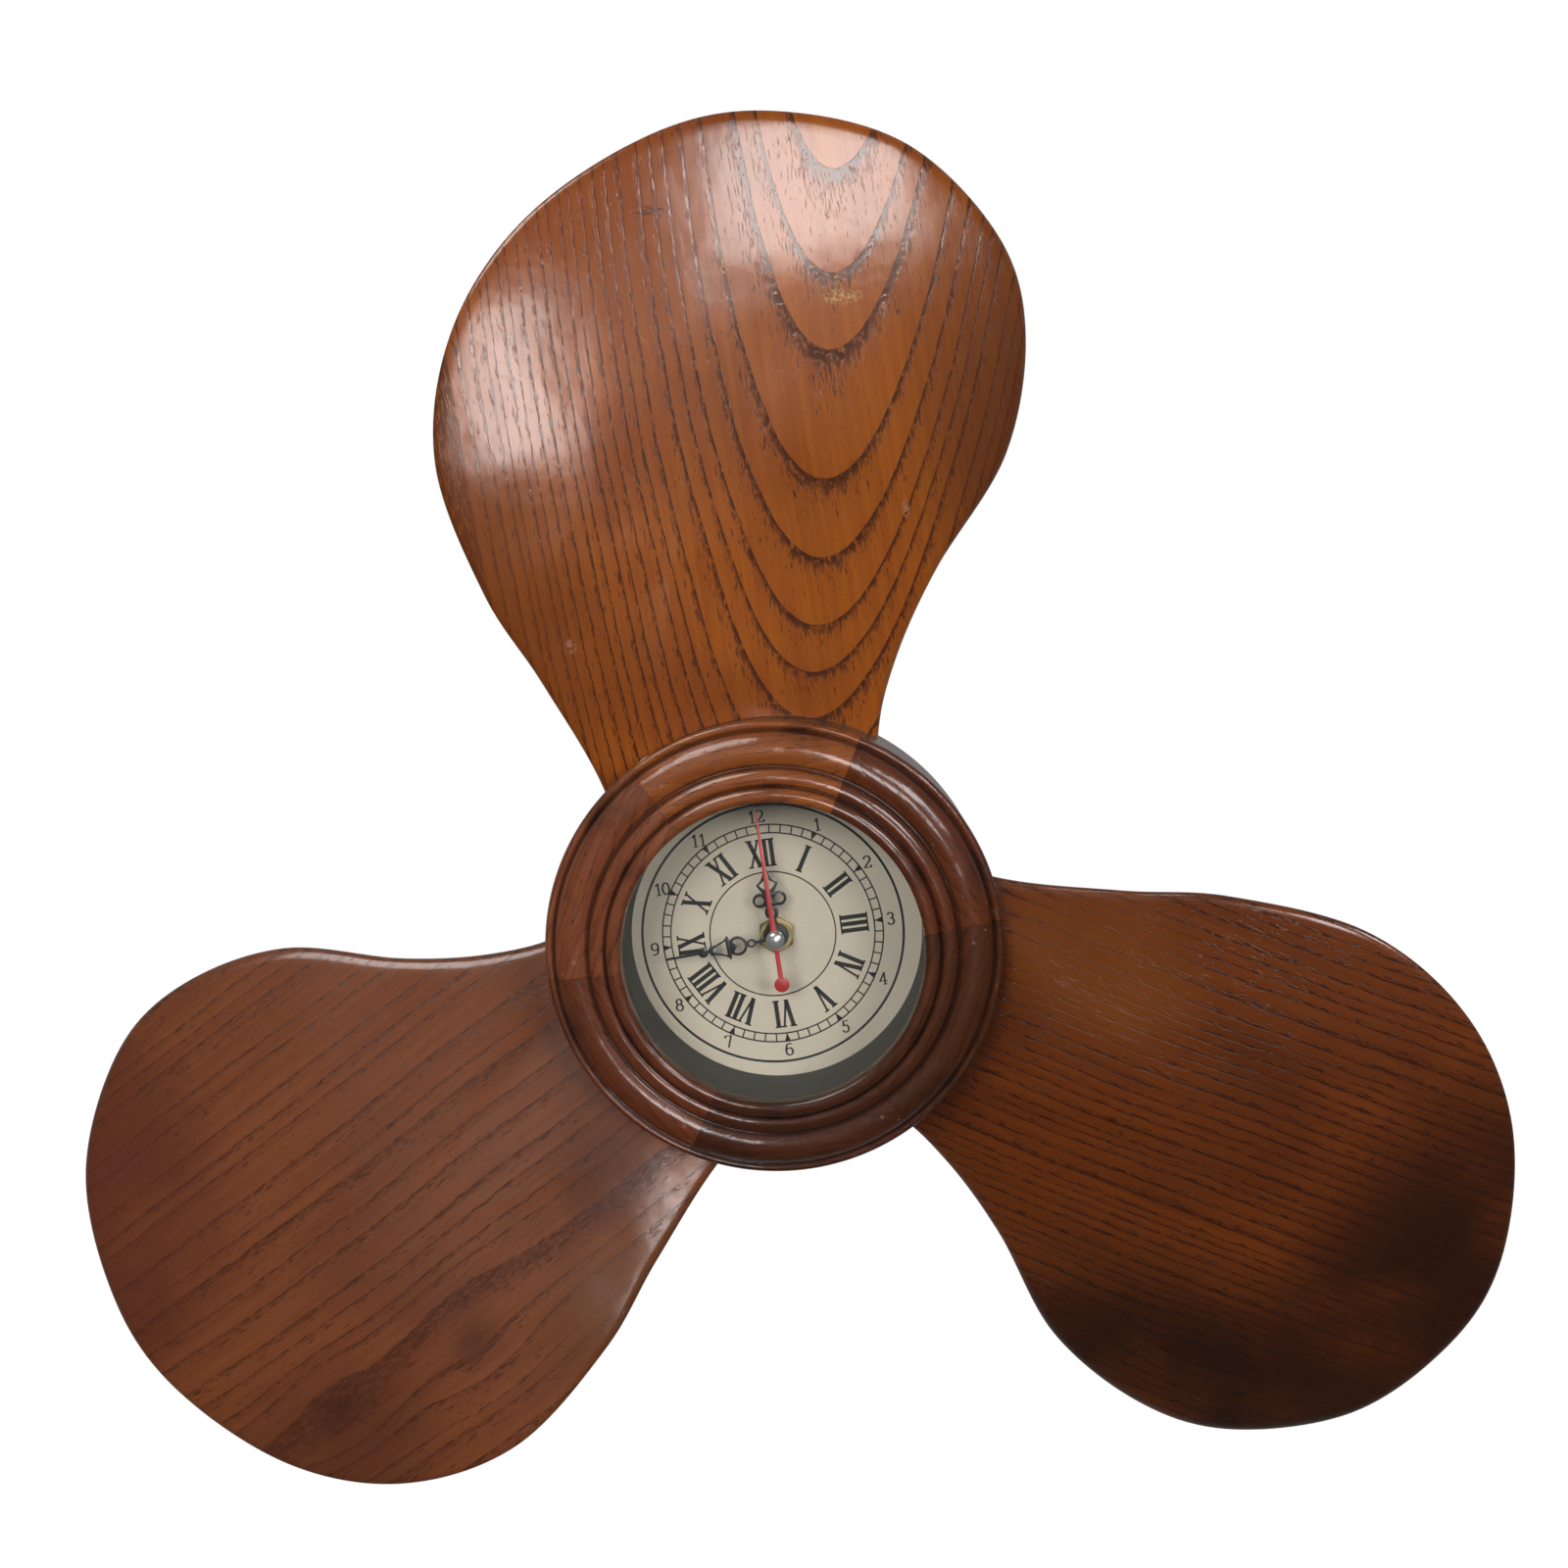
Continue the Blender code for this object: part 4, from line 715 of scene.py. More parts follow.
# ---------------------------------------------------------------- blades
# Direction in degrees and size beside the pattern, a hair inside the solid ones.
INSET = 0.9985
BLADES = {
    "top_blade": (90.85, 1.0),
    "left_blade": (209.86, 0.990),
    "right_blade": (329.92, 1.002),
}
BLADE_OUTLINE = [
    (0.020, -0.0400), (0.058, -0.0432), (0.084, -0.0530), (0.112, -0.0712), (0.146, -0.1000),
    (0.184, -0.1122), (0.2160, -0.1073), (0.2468, -0.0810), (0.2592, -0.0420), (0.2562, -0.0056),
    (0.2356, 0.0362), (0.2054, 0.0643), (0.1670, 0.0773), (0.1252, 0.0711), (0.0951, 0.0593),
    (0.0580, 0.0470), (0.020, 0.0440),
]
BLADE_CENTRE = 0.165
BLADE_EDGE_THICKNESS = 0.0047
BLADE_FRONT_CROWN = 0.0075
BLADE_BACK_CROWN = 0.0040
EDGE_ROUND_FROM = 0.962
EDGE_FLAT = 0.34
TOOL_WAVE = 0.00022
OUTLINE_STEPS = 190


def blade_depth(along, across):
    """How far in front of the wall the middle of the blade's thickness lies."""
    out = along - 0.150
    return (0.0377 + 0.099 * out + 0.361 * across - 0.0081 * math.atan2(across, along)
            - 0.059 * out**2 - 0.038 * across**2)


def edge_share(out):
    """How much of the edge's half thickness is left at a share of the way out to the outline."""
    if out <= EDGE_ROUND_FROM:
        return 1.0
    fall = (out - EDGE_ROUND_FROM) / (1 - EDGE_ROUND_FROM)
    return EDGE_FLAT + (1 - EDGE_FLAT) * math.sqrt(max(0.0, 1 - fall**2))


def blade_point(edge, size, out, side):
    along = size * (BLADE_CENTRE + out * (edge[0] - BLADE_CENTRE))
    across = size * out * edge[1]
    crown = BLADE_FRONT_CROWN if side > 0 else BLADE_BACK_CROWN
    rise = edge_share(out) * BLADE_EDGE_THICKNESS / 2 + crown * (1 - out**2)
    place = Vector((along, across, blade_depth(along, across) + side * rise))
    waves = noise.noise(Vector((along * 34, across * 34, side * 3 + size * 9)))
    place.z += side * TOOL_WAVE * (waves - 1.0) * (1 - 0.6 * out)
    return place


def carved_blade(size, turn):
    """The carved blade, lofted in rings from its middle to its rounded edge, seated on the hub."""
    bm = bmesh.new()
    edge_path = evenly(smooth_path(BLADE_OUTLINE, 16), OUTLINE_STEPS)
    outs = [step / 20 for step in range(1, 19)] + [0.935, 0.962, 0.974, 0.984, 0.991, 0.997, 1.0]
    rings = [(out, 1) for out in outs] + [(out, -1) for out in reversed(outs)]
    rows = [[bm.verts.new(blade_point(edge, size, *ring)) for edge in edge_path] for ring in rings]
    front = bm.verts.new(blade_point(edge_path[0], size, 0, 1))
    back = bm.verts.new(blade_point(edge_path[0], size, 0, -1))
    for step in range(OUTLINE_STEPS):
        following = (step + 1) % OUTLINE_STEPS
        bm.faces.new((front, rows[0][step], rows[0][following]))
        bm.faces.new((back, rows[-1][following], rows[-1][step]))
        for inner, outer in zip(rows, rows[1:]):
            bm.faces.new((inner[step], outer[step], outer[following], inner[following]))
    bmesh.ops.recalc_face_normals(bm, faces=bm.faces)
    bmesh.ops.rotate(bm, verts=bm.verts, matrix=Matrix.Rotation(turn, 3, "Z"))
    seat = rod(HUB_RADIUS + 0.1 * MM, -0.03, 0.10, steps=256)
    return combined(bm, cuts=[seat])


blade_looks = {
    "top_blade": top_blade_wood(math.radians(BLADES["top_blade"][0])),
    "left_blade": straight_blade_wood(
        "left_blade_varnished_wood", math.radians(BLADES["left_blade"][0]),
        ((0.280, 0.082, 0.026), (0.225, 0.060, 0.018), (0.140, 0.035, 0.011), (0.046, 0.014, 0.007)),
        ring_width=0.0080, lean=0.02,
        knots=[((0.1560, 0.0420), (0.022, 0.016), 0.55), ((0.2050, 0.0330), (0.018, 0.013), 0.45)],
        stains_and_shade=[
            ((0.245, -0.070), (0.060, 0.075), 0.75, (0.130, 0.028, 0.016)),
            ((0.090, 0.030), (0.022, 0.020), 0.40, (0.060, 0.030, 0.024)),
            ((0.225, 0.045), (0.060, 0.040), 0.60, (0.095, 0.024, 0.012)),
            ((0.110, 0.062), (0.050, 0.022), 0.60, (0.150, 0.052, 0.014)),
        ],
        pore_share=0.75,
    ),
    "right_blade": straight_blade_wood(
        "right_blade_varnished_wood", math.radians(BLADES["right_blade"][0]),
        ((0.235, 0.052, 0.006), (0.180, 0.038, 0.005), (0.095, 0.020, 0.004), (0.022, 0.006, 0.003)),
        ring_width=0.0042, lean=-0.05, knots=[((0.190, -0.082), (0.018, 0.012), 0.30)],
        # Painted shade: the first and third patches darken the right blade's lower side and its tip nearly to
        # black. The second is a lighter orange patch near the hub on its upper side.
        stains_and_shade=[
            ((0.205, -0.100), (0.125, 0.066), 0.90, (0.016, 0.006, 0.003)),
            ((0.100, 0.035), (0.040, 0.034), 0.70, (0.270, 0.072, 0.010)),
            ((0.240, -0.020), (0.055, 0.100), 1.0, (0.040, 0.010, 0.003)),
        ],
        pore_share=1.15,
    ),
}
for blade, (degrees, size) in BLADES.items():
    finished("carved_" + blade, carved_blade(size * INSET, math.radians(degrees)), blade_looks[blade],
             replaces=[blade])

# ---------------------------------------------------------------- hub drum
HUB_TONES = ((0.20, 0.070, 0.026), (0.15, 0.050, 0.020), (0.090, 0.028, 0.013), (0.035, 0.012, 0.008))
plate_low, plate_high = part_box("hanger_plate")
plate_y = (plate_low.z - SHAFT_Z, plate_high.z - SHAFT_Z)
board_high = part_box("dial_board")[1]
SHOULDER_DEPTH = -board_high.y - GAP
REAR_OPENING = 44.0 * MM
FRONT_BORE = SLEEVE_RADIUS + GAP
drum_profile = [
    (HUB_RADIUS, HUB_DEPTH - 0.4 * MM),
    (HUB_RADIUS - 0.4 * MM, HUB_DEPTH),
    (FRONT_BORE, HUB_DEPTH),
    (FRONT_BORE, SHOULDER_DEPTH),
    (REAR_OPENING, SHOULDER_DEPTH),
    (REAR_OPENING, 0.4 * MM),
    (REAR_OPENING + 0.4 * MM, 0),
    (HUB_RADIUS - 1.0 * MM, 0),
    (HUB_RADIUS - 0.3 * MM, 0.3 * MM),
    (HUB_RADIUS, 1.0 * MM),
]
recess = block((plate_low.x - GAP, plate_y[0] - GAP, -0.001),
               (plate_high.x + GAP, plate_y[1] + GAP, -plate_low.y + GAP))
NAIL_HEAD = 3.8 * MM
nail_y = -SHAFT_Z - 4.2 * MM
pocket = block((-NAIL_HEAD - 1.2 * MM, nail_y - NAIL_HEAD - 3.2 * MM, -0.001),
               (NAIL_HEAD + 1.2 * MM, -SHAFT_Z + 2.6 * MM, 8.0 * MM), chamfer=0.6 * MM)
hub_wood = turned_wood("hub_side_wood", HUB_TONES, 0.4)
finished("turned_hub_drum", combined(turned(drum_profile, 240), cuts=[recess, pocket]), hub_wood,
         replaces=["hub_drum"])

# ---------------------------------------------------------------- ring of six wedges
# From the opening over the two beads, the broad band and the rim: (mm out from the opening, mm down).
RING_CURVE = [
    (0.0, 1.9), (0.35, 0.7), (1.5, 0.05), (3.1, 0.15), (4.4, 1.1), (5.15, 2.75), (5.75, 2.2),
    (7.2, 1.75), (9.0, 2.15), (10.3, 3.3), (11.0, 5.15), (12.2, 4.55), (14.6, 3.75), (17.4, 3.95),
    (20.0, 5.2), (21.6, 6.9), (22.35, 8.95), (22.9, 8.75), (23.9, 8.35), (24.8, 8.75), (25.35, 9.8),
]
WEDGE_GAP = 0.05 * MM
WEDGE_TONES = [
    ((0.175, 0.042, 0.012), (0.125, 0.028, 0.008), (0.075, 0.018, 0.006), (0.018, 0.006, 0.004)),
    ((0.410, 0.118, 0.024), (0.310, 0.080, 0.017), (0.170, 0.042, 0.011), (0.045, 0.012, 0.006)),
    ((0.310, 0.094, 0.034), (0.230, 0.060, 0.022), (0.120, 0.029, 0.013), (0.034, 0.010, 0.007)),
    ((0.200, 0.052, 0.019), (0.150, 0.037, 0.014), (0.082, 0.021, 0.009), (0.024, 0.008, 0.005)),
    ((0.105, 0.028, 0.010), (0.072, 0.019, 0.007), (0.045, 0.012, 0.005), (0.014, 0.005, 0.003)),
    ((0.115, 0.032, 0.009), (0.080, 0.022, 0.006), (0.048, 0.014, 0.005), (0.014, 0.005, 0.003)),
]
# Radii of the ring's grooves, each with the half width of the band of painted shade laid along it.
GROOVES = [(RING_OPENING + out * MM, reach * MM) for out, reach in ((5.15, 1.1), (11.0, 1.5), (22.35, 1.3))]


def ring_profile():
    curve = smooth_path([(out * MM, down * MM) for out, down in RING_CURVE], 5)
    top = [(RING_OPENING + out, RING_BACK + RING_HEIGHT - down) for out, down in curve]
    rim = RING_OPENING + RING_CURVE[-1][0] * MM
    return [
        (RING_OPENING, RING_BACK + REBATE_DEPTH), *top,
        (rim, RING_BACK + 0.2 * MM), (rim - 0.2 * MM, RING_BACK),
        (REBATE_RADIUS, RING_BACK), (REBATE_RADIUS, RING_BACK + REBATE_DEPTH),
    ]


def ring_wedge(middle, seed):
    joint = WEDGE_GAP / HUB_RADIUS
    sweep = math.radians(60) - 2 * joint
    bm = turned(ring_profile(), steps=30, sweep=sweep, start=middle - sweep / 2)
    for vert in bm.verts:
        if vert.co.z > RING_BACK + 1.0 * MM:
            worn = noise.noise(Vector((vert.co.x * 60, vert.co.y * 60, vert.co.z * 60 + seed)))
            vert.co.z -= 0.10 * MM * (0.6 + worn)
    return bm


for index, tones in enumerate(WEDGE_TONES):
    middle = math.radians(30 + 60 * index)
    look = turned_wood(f"ring_wedge_wood_{index + 1}", tones, middle, seed=0.013 * index, grooves=GROOVES)
    finished(f"turned_ring_wedge_{index + 1}", ring_wedge(middle, index * 2.7), look,
             replaces=[f"ring_wedge_{index + 1}"], smooth=50)

# ---------------------------------------------------------------- lining and dial
sleeve_inner = SLEEVE_RADIUS - 1.7 * MM
finished("grey_lining_sleeve", turned([
    (SLEEVE_RADIUS, -sleeve_low.y), (SLEEVE_RADIUS, -sleeve_high.y),
    (sleeve_inner, -sleeve_high.y), (sleeve_inner, -sleeve_low.y),
], 200), SLEEVE_CARD, replaces=["lining_sleeve"])

INK_LOW = DIAL_FACE - 0.02 * MM
INK_HIGH = DIAL_FACE + 0.03 * MM
PRINT_CENTRE = (-1.25 * MM, 0.08 * MM)
TRACK_OUTER = 37.0 * MM
TRACK_INNER = 34.2 * MM


def ink_ring(radius, width):
    return turned([(radius + width / 2, INK_HIGH), (radius + width / 2, INK_LOW),
                   (radius - width / 2, INK_LOW), (radius - width / 2, INK_HIGH)], 240, PRINT_CENTRE)


def ink_shape(bm, outline):
    """A thin printed shape from an outline of points."""
    rings = [[bm.verts.new((x, y, height)) for x, y in outline] for height in (INK_LOW, INK_HIGH)]
    bm.faces.new(rings[0])
    bm.faces.new(rings[1])
    for index in range(len(outline)):
        following = (index + 1) % len(outline)
        bm.faces.new((rings[0][index], rings[0][following], rings[1][following], rings[1][index]))


def repeat_tree():
    """Copies of the modified mesh at even angles about an axis, as one plain mesh."""
    tree = bpy.data.node_groups.new("copies_round_an_axis", "GeometryNodeTree")
    for name, kind in (("Geometry", "NodeSocketGeometry"), ("Count", "NodeSocketInt"),
                       ("Radius", "NodeSocketFloat"), ("Finish", "NodeSocketMaterial")):
        tree.interface.new_socket(name, in_out="INPUT", socket_type=kind)
    tree.interface.new_socket("Geometry", in_out="OUTPUT", socket_type="NodeSocketGeometry")
    make = tree.nodes.new
    given, wanted = make("NodeGroupInput"), make("NodeGroupOutput")
    spots = make("GeometryNodeMeshCircle")
    copies = make("GeometryNodeInstanceOnPoints")
    index = make("GeometryNodeInputIndex")
    share = make("ShaderNodeMath")
    share.operation = "DIVIDE"
    angle = make("ShaderNodeMath")
    angle.operation = "MULTIPLY"
    angle.inputs[1].default_value = math.tau
    turn = make("ShaderNodeCombineXYZ")
    real = make("GeometryNodeRealizeInstances")
    finish = make("GeometryNodeSetMaterial")
    link = tree.links.new
    link(given.outputs["Count"], spots.inputs["Vertices"])
    link(given.outputs["Radius"], spots.inputs["Radius"])
    link(spots.outputs[0], copies.inputs["Points"])
    link(given.outputs["Geometry"], copies.inputs["Instance"])
    link(index.outputs[0], share.inputs[0])
    link(given.outputs["Count"], share.inputs[1])
    link(share.outputs[0], angle.inputs[0])
    link(angle.outputs[0], turn.inputs["Z"])
    link(turn.outputs[0], copies.inputs["Rotation"])
    link(copies.outputs[0], real.inputs[0])
    link(real.outputs[0], finish.inputs["Geometry"])
    link(given.outputs["Finish"], finish.inputs["Material"])
    link(finish.outputs[0], wanted.inputs[0])
    return tree


REPEAT = repeat_tree()


def repeated(bm, count, radius, finish, centre=(0, 0)):
    """The mesh copied round a circle: its own +X points outwards."""
    made = as_object("one_copy", bm)
    modifier = made.modifiers.new("copies", "NODES")
    modifier.node_group = REPEAT
    sockets = {item.name: item.identifier for item in REPEAT.interface.items_tree if item.in_out == "INPUT"}
    modifier[sockets["Count"]] = count
    modifier[sockets["Radius"]] = radius
    modifier[sockets["Finish"]] = finish
    copies = evaluated_mesh(made)
    bmesh.ops.translate(copies, verts=copies.verts, vec=(*centre, 0))
    return copies


def minute_ticks():
    tick = bmesh.new()
    half = (TRACK_OUTER - TRACK_INNER) / 2
    ink_shape(tick, [(-half, -0.23 * MM), (half, -0.23 * MM), (half, 0.23 * MM), (-half, 0.23 * MM)])
    return repeated(tick, 60, (TRACK_OUTER + TRACK_INNER) / 2, PRINT_INK, PRINT_CENTRE)


def hour_marks():
    mark = bmesh.new()
    ink_shape(mark, [(0.0, 0.0), (2.9 * MM, -1.05 * MM), (2.9 * MM, 1.05 * MM)])
    return repeated(mark, 12, TRACK_INNER, PRINT_INK, PRINT_CENTRE)


NUMERALS = ["XII", "I", "II", "III", "IV", "V", "VI", "VII", "VIII", "IX", "X", "XI"]
NUMERAL_FOOT = 22.8 * MM
NUMERAL_HEIGHT = 9.4 * MM
LETTER_WIDTHS = {"I": 2.25 * MM, "V": 4.7 * MM, "X": 4.9 * MM}
THICK, THIN, SERIF = 1.45 * MM, 0.72 * MM, 0.56 * MM


def slanted(x_low, x_high, width, height=NUMERAL_HEIGHT):
    return [(x_low - width / 2, 0), (x_low + width / 2, 0),
            (x_high + width / 2, height), (x_high - width / 2, height)]


def serif(x, y, reach, thickness=SERIF):
    return [(x - reach, y), (x + reach, y), (x + reach, y + thickness), (x - reach, y + thickness)]


def roman_letter(letter, left):
    """Outlines of one letter that stands on y = 0, with thick and thin strokes and serifs."""
    width = LETTER_WIDTHS[letter]
    middle = left + width / 2
    top = NUMERAL_HEIGHT - SERIF
    if letter == "I":
        return [slanted(middle, middle, THICK), serif(middle, 0, 1.12 * MM), serif(middle, top, 1.12 * MM)]
    if letter == "V":
        reach = width / 2 - 0.75 * MM
        return [slanted(middle, middle - reach, THICK), slanted(middle, middle + reach, THIN),
                serif(middle - reach, top, 1.15 * MM), serif(middle + reach, top, 0.85 * MM)]
    reach = width / 2 - 0.85 * MM
    return [slanted(middle + reach, middle - reach, THICK), slanted(middle - reach, middle + reach, THIN),
            serif(middle - reach, top, 1.1 * MM), serif(middle + reach, top, 0.9 * MM),
            serif(middle - reach, 0, 0.9 * MM), serif(middle + reach, 0, 1.1 * MM)]


def on_dial(outline, hour, foot, upright_figures=False):
    """Moves an outline drawn upright out to its hour: head outwards, or still upright."""
    turn = -math.tau * hour / 12
    cosine, sine = math.cos(turn), math.sin(turn)
    if upright_figures:
        return [(PRINT_CENTRE[0] + x - foot * sine, PRINT_CENTRE[1] + y + foot * cosine) for x, y in outline]
    return [
        (PRINT_CENTRE[0] + x * cosine - (y + foot) * sine, PRINT_CENTRE[1] + x * sine + (y + foot) * cosine)
        for x, y in outline
    ]


def roman_numerals():
    bm = bmesh.new()
    for hour, numeral in enumerate(NUMERALS):
        left = -sum(LETTER_WIDTHS[letter] for letter in numeral) / 2
        for letter in numeral:
            for outline in roman_letter(letter, left):
                ink_shape(bm, on_dial(outline, hour, NUMERAL_FOOT))
            left += LETTER_WIDTHS[letter]
    return bm


def arc(radius_x, radius_y, first, last, centre=(0, 0), steps=14):
    turns = [math.radians(first + (last - first) * step / steps) for step in range(steps + 1)]
    return [(centre[0] + radius_x * math.cos(turn), centre[1] + radius_y * math.sin(turn)) for turn in turns]


# Pen paths of the figures in a box one high: each is drawn with one or more strokes.
FIGURES = {
    "0": [arc(0.27, 0.48, 90, 450, (0.30, 0.5), 24)],
    "1": [[(0.12, 0.80), (0.30, 0.98), (0.30, 0.02)], [(0.12, 0.02), (0.48, 0.02)]],
    "2": [[*arc(0.25, 0.26, 170, -35, (0.30, 0.72)), (0.06, 0.04), (0.58, 0.04), (0.60, 0.18)]],
    "3": [arc(0.22, 0.24, 155, -80, (0.27, 0.74)), arc(0.26, 0.27, 90, -155, (0.27, 0.27))],
    "4": [[(0.44, 0.02), (0.44, 0.98), (0.04, 0.30), (0.62, 0.30)], [(0.30, 0.02), (0.58, 0.02)]],
    "5": [[(0.54, 0.96), (0.16, 0.96), (0.12, 0.56)], arc(0.26, 0.30, 115, -150, (0.28, 0.31))],
    "6": [[(0.52, 0.92), (0.40, 0.98), *arc(0.27, 0.62, 118, 180, (0.32, 0.36), 8)],
          arc(0.27, 0.30, 180, 540, (0.32, 0.31), 22)],
    "7": [[(0.08, 0.82), (0.10, 0.96), (0.58, 0.96), (0.26, 0.02)]],
    "8": [arc(0.21, 0.23, 90, 450, (0.30, 0.75), 20), arc(0.27, 0.26, 90, 450, (0.30, 0.27), 20)],
    "9": [[(0.10, 0.08), (0.22, 0.02), *arc(0.27, 0.62, -62, 0, (0.30, 0.64), 8)],
          arc(0.27, 0.30, 0, 360, (0.30, 0.69), 22)],
}
FIGURE_HEIGHT = 4.1 * MM
FIGURE_RADIUS = 39.9 * MM
PEN_THIN, PEN_THICK = 0.34 * MM, 0.62 * MM


def pen_stroke(bm, path, hour, left):
    """A stroke along a path, thick where the pen runs up and down and thin across."""
    points = [Vector((left + x * FIGURE_HEIGHT, (y - 0.5) * FIGURE_HEIGHT)) for x, y in path]
    for start, end in zip(points, points[1:]):
        run = (end - start).normalized()
        half = (PEN_THIN + (PEN_THICK - PEN_THIN) * abs(run.y)) / 2
        side = Vector((-run.y, run.x)) * half
        over = run * half * 0.6
        outline = [start - side - over, end - side + over, end + side + over, start + side - over]
        ink_shape(bm, on_dial(outline, hour, FIGURE_RADIUS, upright_figures=True))


def hour_figures():
    bm = bmesh.new()
    advance = 0.62 * FIGURE_HEIGHT
    for hour in range(1, 13):
        figures = str(hour)
        for place, figure in enumerate(figures):
            left = (place - len(figures) / 2) * advance
            for path in FIGURES[figure]:
                pen_stroke(bm, path, hour, left)
    return bm


finished("dial_print", merged(
    ink_ring(TRACK_OUTER, 0.50 * MM), ink_ring(TRACK_INNER, 0.48 * MM), ink_ring(21.1 * MM, 0.45 * MM),
    ink_ring(43.8 * MM, 0.82 * MM), minute_ticks(), hour_marks(), roman_numerals(), hour_figures(),
), PRINT_INK)

# ---------------------------------------------------------------- hands
HOUR_TUBE = 2.55 * MM
MINUTE_TUBE = 1.8 * MM
SECOND_ARBOR = 0.7 * MM


def hand_arc(radius, first, last, steps, centre=(0.0, 0.0), squash=1.0):
    """Points of an arc as (length, half width); squash narrows it to an ellipse."""
    return arc(radius, radius * squash, first, last, centre, steps)


def hand(name, half, holes, look, at_hour, body):
    """A flat hand with softened edges, pointing to a place on the dial counted in hours."""
    low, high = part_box(name)
    outline = [(w, l) for l, w in half] + [(-w, l) for l, w in reversed(half) if w > 1e-5]
    flipped = [[(w, l) for l, w in hole] for hole in holes]
    bm = plate(outline, -high.y, -low.y, flipped, round_over=0.05 * MM)
    bmesh.ops.rotate(bm, verts=bm.verts, matrix=Matrix.Rotation(-math.tau * at_hour / 12, 3, "Z"))
    finished("shaped_" + name, bm, look, body, replaces=[name])


hand("hour_hand", [
    *hand_arc(0.0036, 180, 28, 20),
    *hand_arc(0.0025, 150, 35, 12, (0.0083, 0.0), 0.90),
    *hand_arc(0.00245, 205, -30, 28, (0.0127, 0.0032)),
    (0.0161, 0.0026), (0.0168, 0.0031), (0.0180, 0.0037), (0.0184, 0.0030), (0.0192, 0.0021),
    (0.0206, 0.0012), (0.0232, 0.0007), (0.0262, 0.0003),
], [
    circle(HOUR_TUBE + 0.1 * MM, 40),
    hand_arc(0.0014, 0, 345, 23, (0.0082, 0.0), 0.62),
    hand_arc(0.00145, 0, 345, 23, (0.0127, 0.0033)),
    hand_arc(0.00145, 0, 345, 23, (0.0127, -0.0033)),
    [(0.0156, 0.0), (0.0163, 0.0013), (0.0170, 0.0021), (0.0178, 0.0027), (0.0187, 0.0015), (0.0199, 0.0),
     (0.0187, -0.0015), (0.0178, -0.0027), (0.0170, -0.0021), (0.0163, -0.0013)],
], BLACK_LACQUER, 11.95, "hour_hand")

hand("minute_hand", [
    *hand_arc(0.0029, 180, 10, 22),
    (0.0064, 0.0004),
    *hand_arc(0.0016, 165, 15, 12, (0.0081, 0.0), 0.9),
    *hand_arc(0.00325, 165, 42, 18, (0.0127, 0.0)),
    (0.0153, 0.0034), (0.0158, 0.0042), (0.0163, 0.0033), (0.0175, 0.0025), (0.0198, 0.0017),
    (0.0212, 0.0015), (0.0217, 0.0018), (0.0221, 0.0010), (0.0226, 0.0005),
    *hand_arc(0.0017, 160, 16, 14, (0.0244, 0.0)),
    (0.0300, 0.00042), (0.0370, 0.00030),
], [
    circle(MINUTE_TUBE + 0.1 * MM, 32),
    hand_arc(0.00088, 0, 345, 20, (0.0081, 0.0), 0.9),
    [*hand_arc(0.0023, 50, 310, 26, (0.0127, 0.0)), (0.0138, -0.0012), (0.0129, 0.0), (0.0138, 0.0012)],
    [(0.0165, -0.0024), (0.0165, 0.0024), (0.0178, 0.0018), (0.0200, 0.0010),
     (0.0215, 0.0), (0.0200, -0.0010), (0.0178, -0.0018)],
], BLACK_LACQUER, 8.88, "minute_hand")

hand("second_hand", [
    *hand_arc(0.0025, 180, 20, 24, (-0.0150, 0.0)),
    (-0.0030, 0.00072),
    *hand_arc(0.0017, 140, 40, 12),
    (0.0060, 0.00085), (0.0429, 0.00042),
], [circle(SECOND_ARBOR + 0.1 * MM, 24)], RED_LACQUER, 11.98, "second_hand")

cap_low, cap_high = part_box("second_hand_cap")
CAP_RADIUS = (cap_high.x - cap_low.x) / 2
cap_top, cap_foot = -cap_low.y, -cap_high.y
dome = [
    (CAP_RADIUS * math.sin(turn), cap_top - 1.9 * MM * (1 - math.cos(turn)))
    for turn in (math.radians(90 * step / 14) for step in range(15))
]
finished("domed_chrome_cap", turned([*dome, (CAP_RADIUS, cap_foot + 0.15 * MM),
         (CAP_RADIUS - 0.15 * MM, cap_foot), (0, cap_foot + 0.4 * MM)], 64), CHROME, "second_hand",
         replaces=["second_hand_cap"])


def hexagon_nut():
    """A hexagon nut with turned chamfers and a hole that clears the thread."""
    low, high = -nut_high.y, -nut_low.y
    corner = 11.0 * MM / math.sqrt(3)
    blank = plate(circle(corner, 6, start=math.radians(22)), low, high, [circle(4.25 * MM, 64)])
    flat = corner * math.cos(math.pi / 6)
    outside = turned([(corner + 2 * MM, high + MM), (flat - 0.1 * MM, high + MM), (flat - 0.1 * MM, high),
                      (corner + 0.1 * MM, high - 0.5 * MM), (corner + 2 * MM, high - 0.5 * MM)], 96)
    return combined(blank, cuts=[outside])


finished("chamfered_hex_nut", hexagon_nut(), BRASS, replaces=["hex_nut"], smooth=25)

# ---------------------------------------------------------------- back of the movement
knob_low, knob_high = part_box("setting_knob")
cover_low, cover_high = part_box("movement_back_cover")
knob_centre = ((knob_low.x + knob_high.x) / 2, (knob_low.z + knob_high.z) / 2 - SHAFT_Z)
KNOB_RADIUS = (knob_high.x - knob_low.x) / 2
ridge = block((-0.3 * MM, -0.16 * MM, -knob_high.y + 0.25 * MM),
              (0.22 * MM, 0.16 * MM, -knob_high.y + 2.3 * MM), chamfer=0.08 * MM)
finished("knurled_knob_ridges", repeated(ridge, 40, KNOB_RADIUS, BLACK_PLASTIC, knob_centre), BLACK_PLASTIC,
         "setting_knob")
COVER_BACK = -cover_high.y
cover_foot, cover_head = cover_low.z - SHAFT_Z, cover_high.z - SHAFT_Z


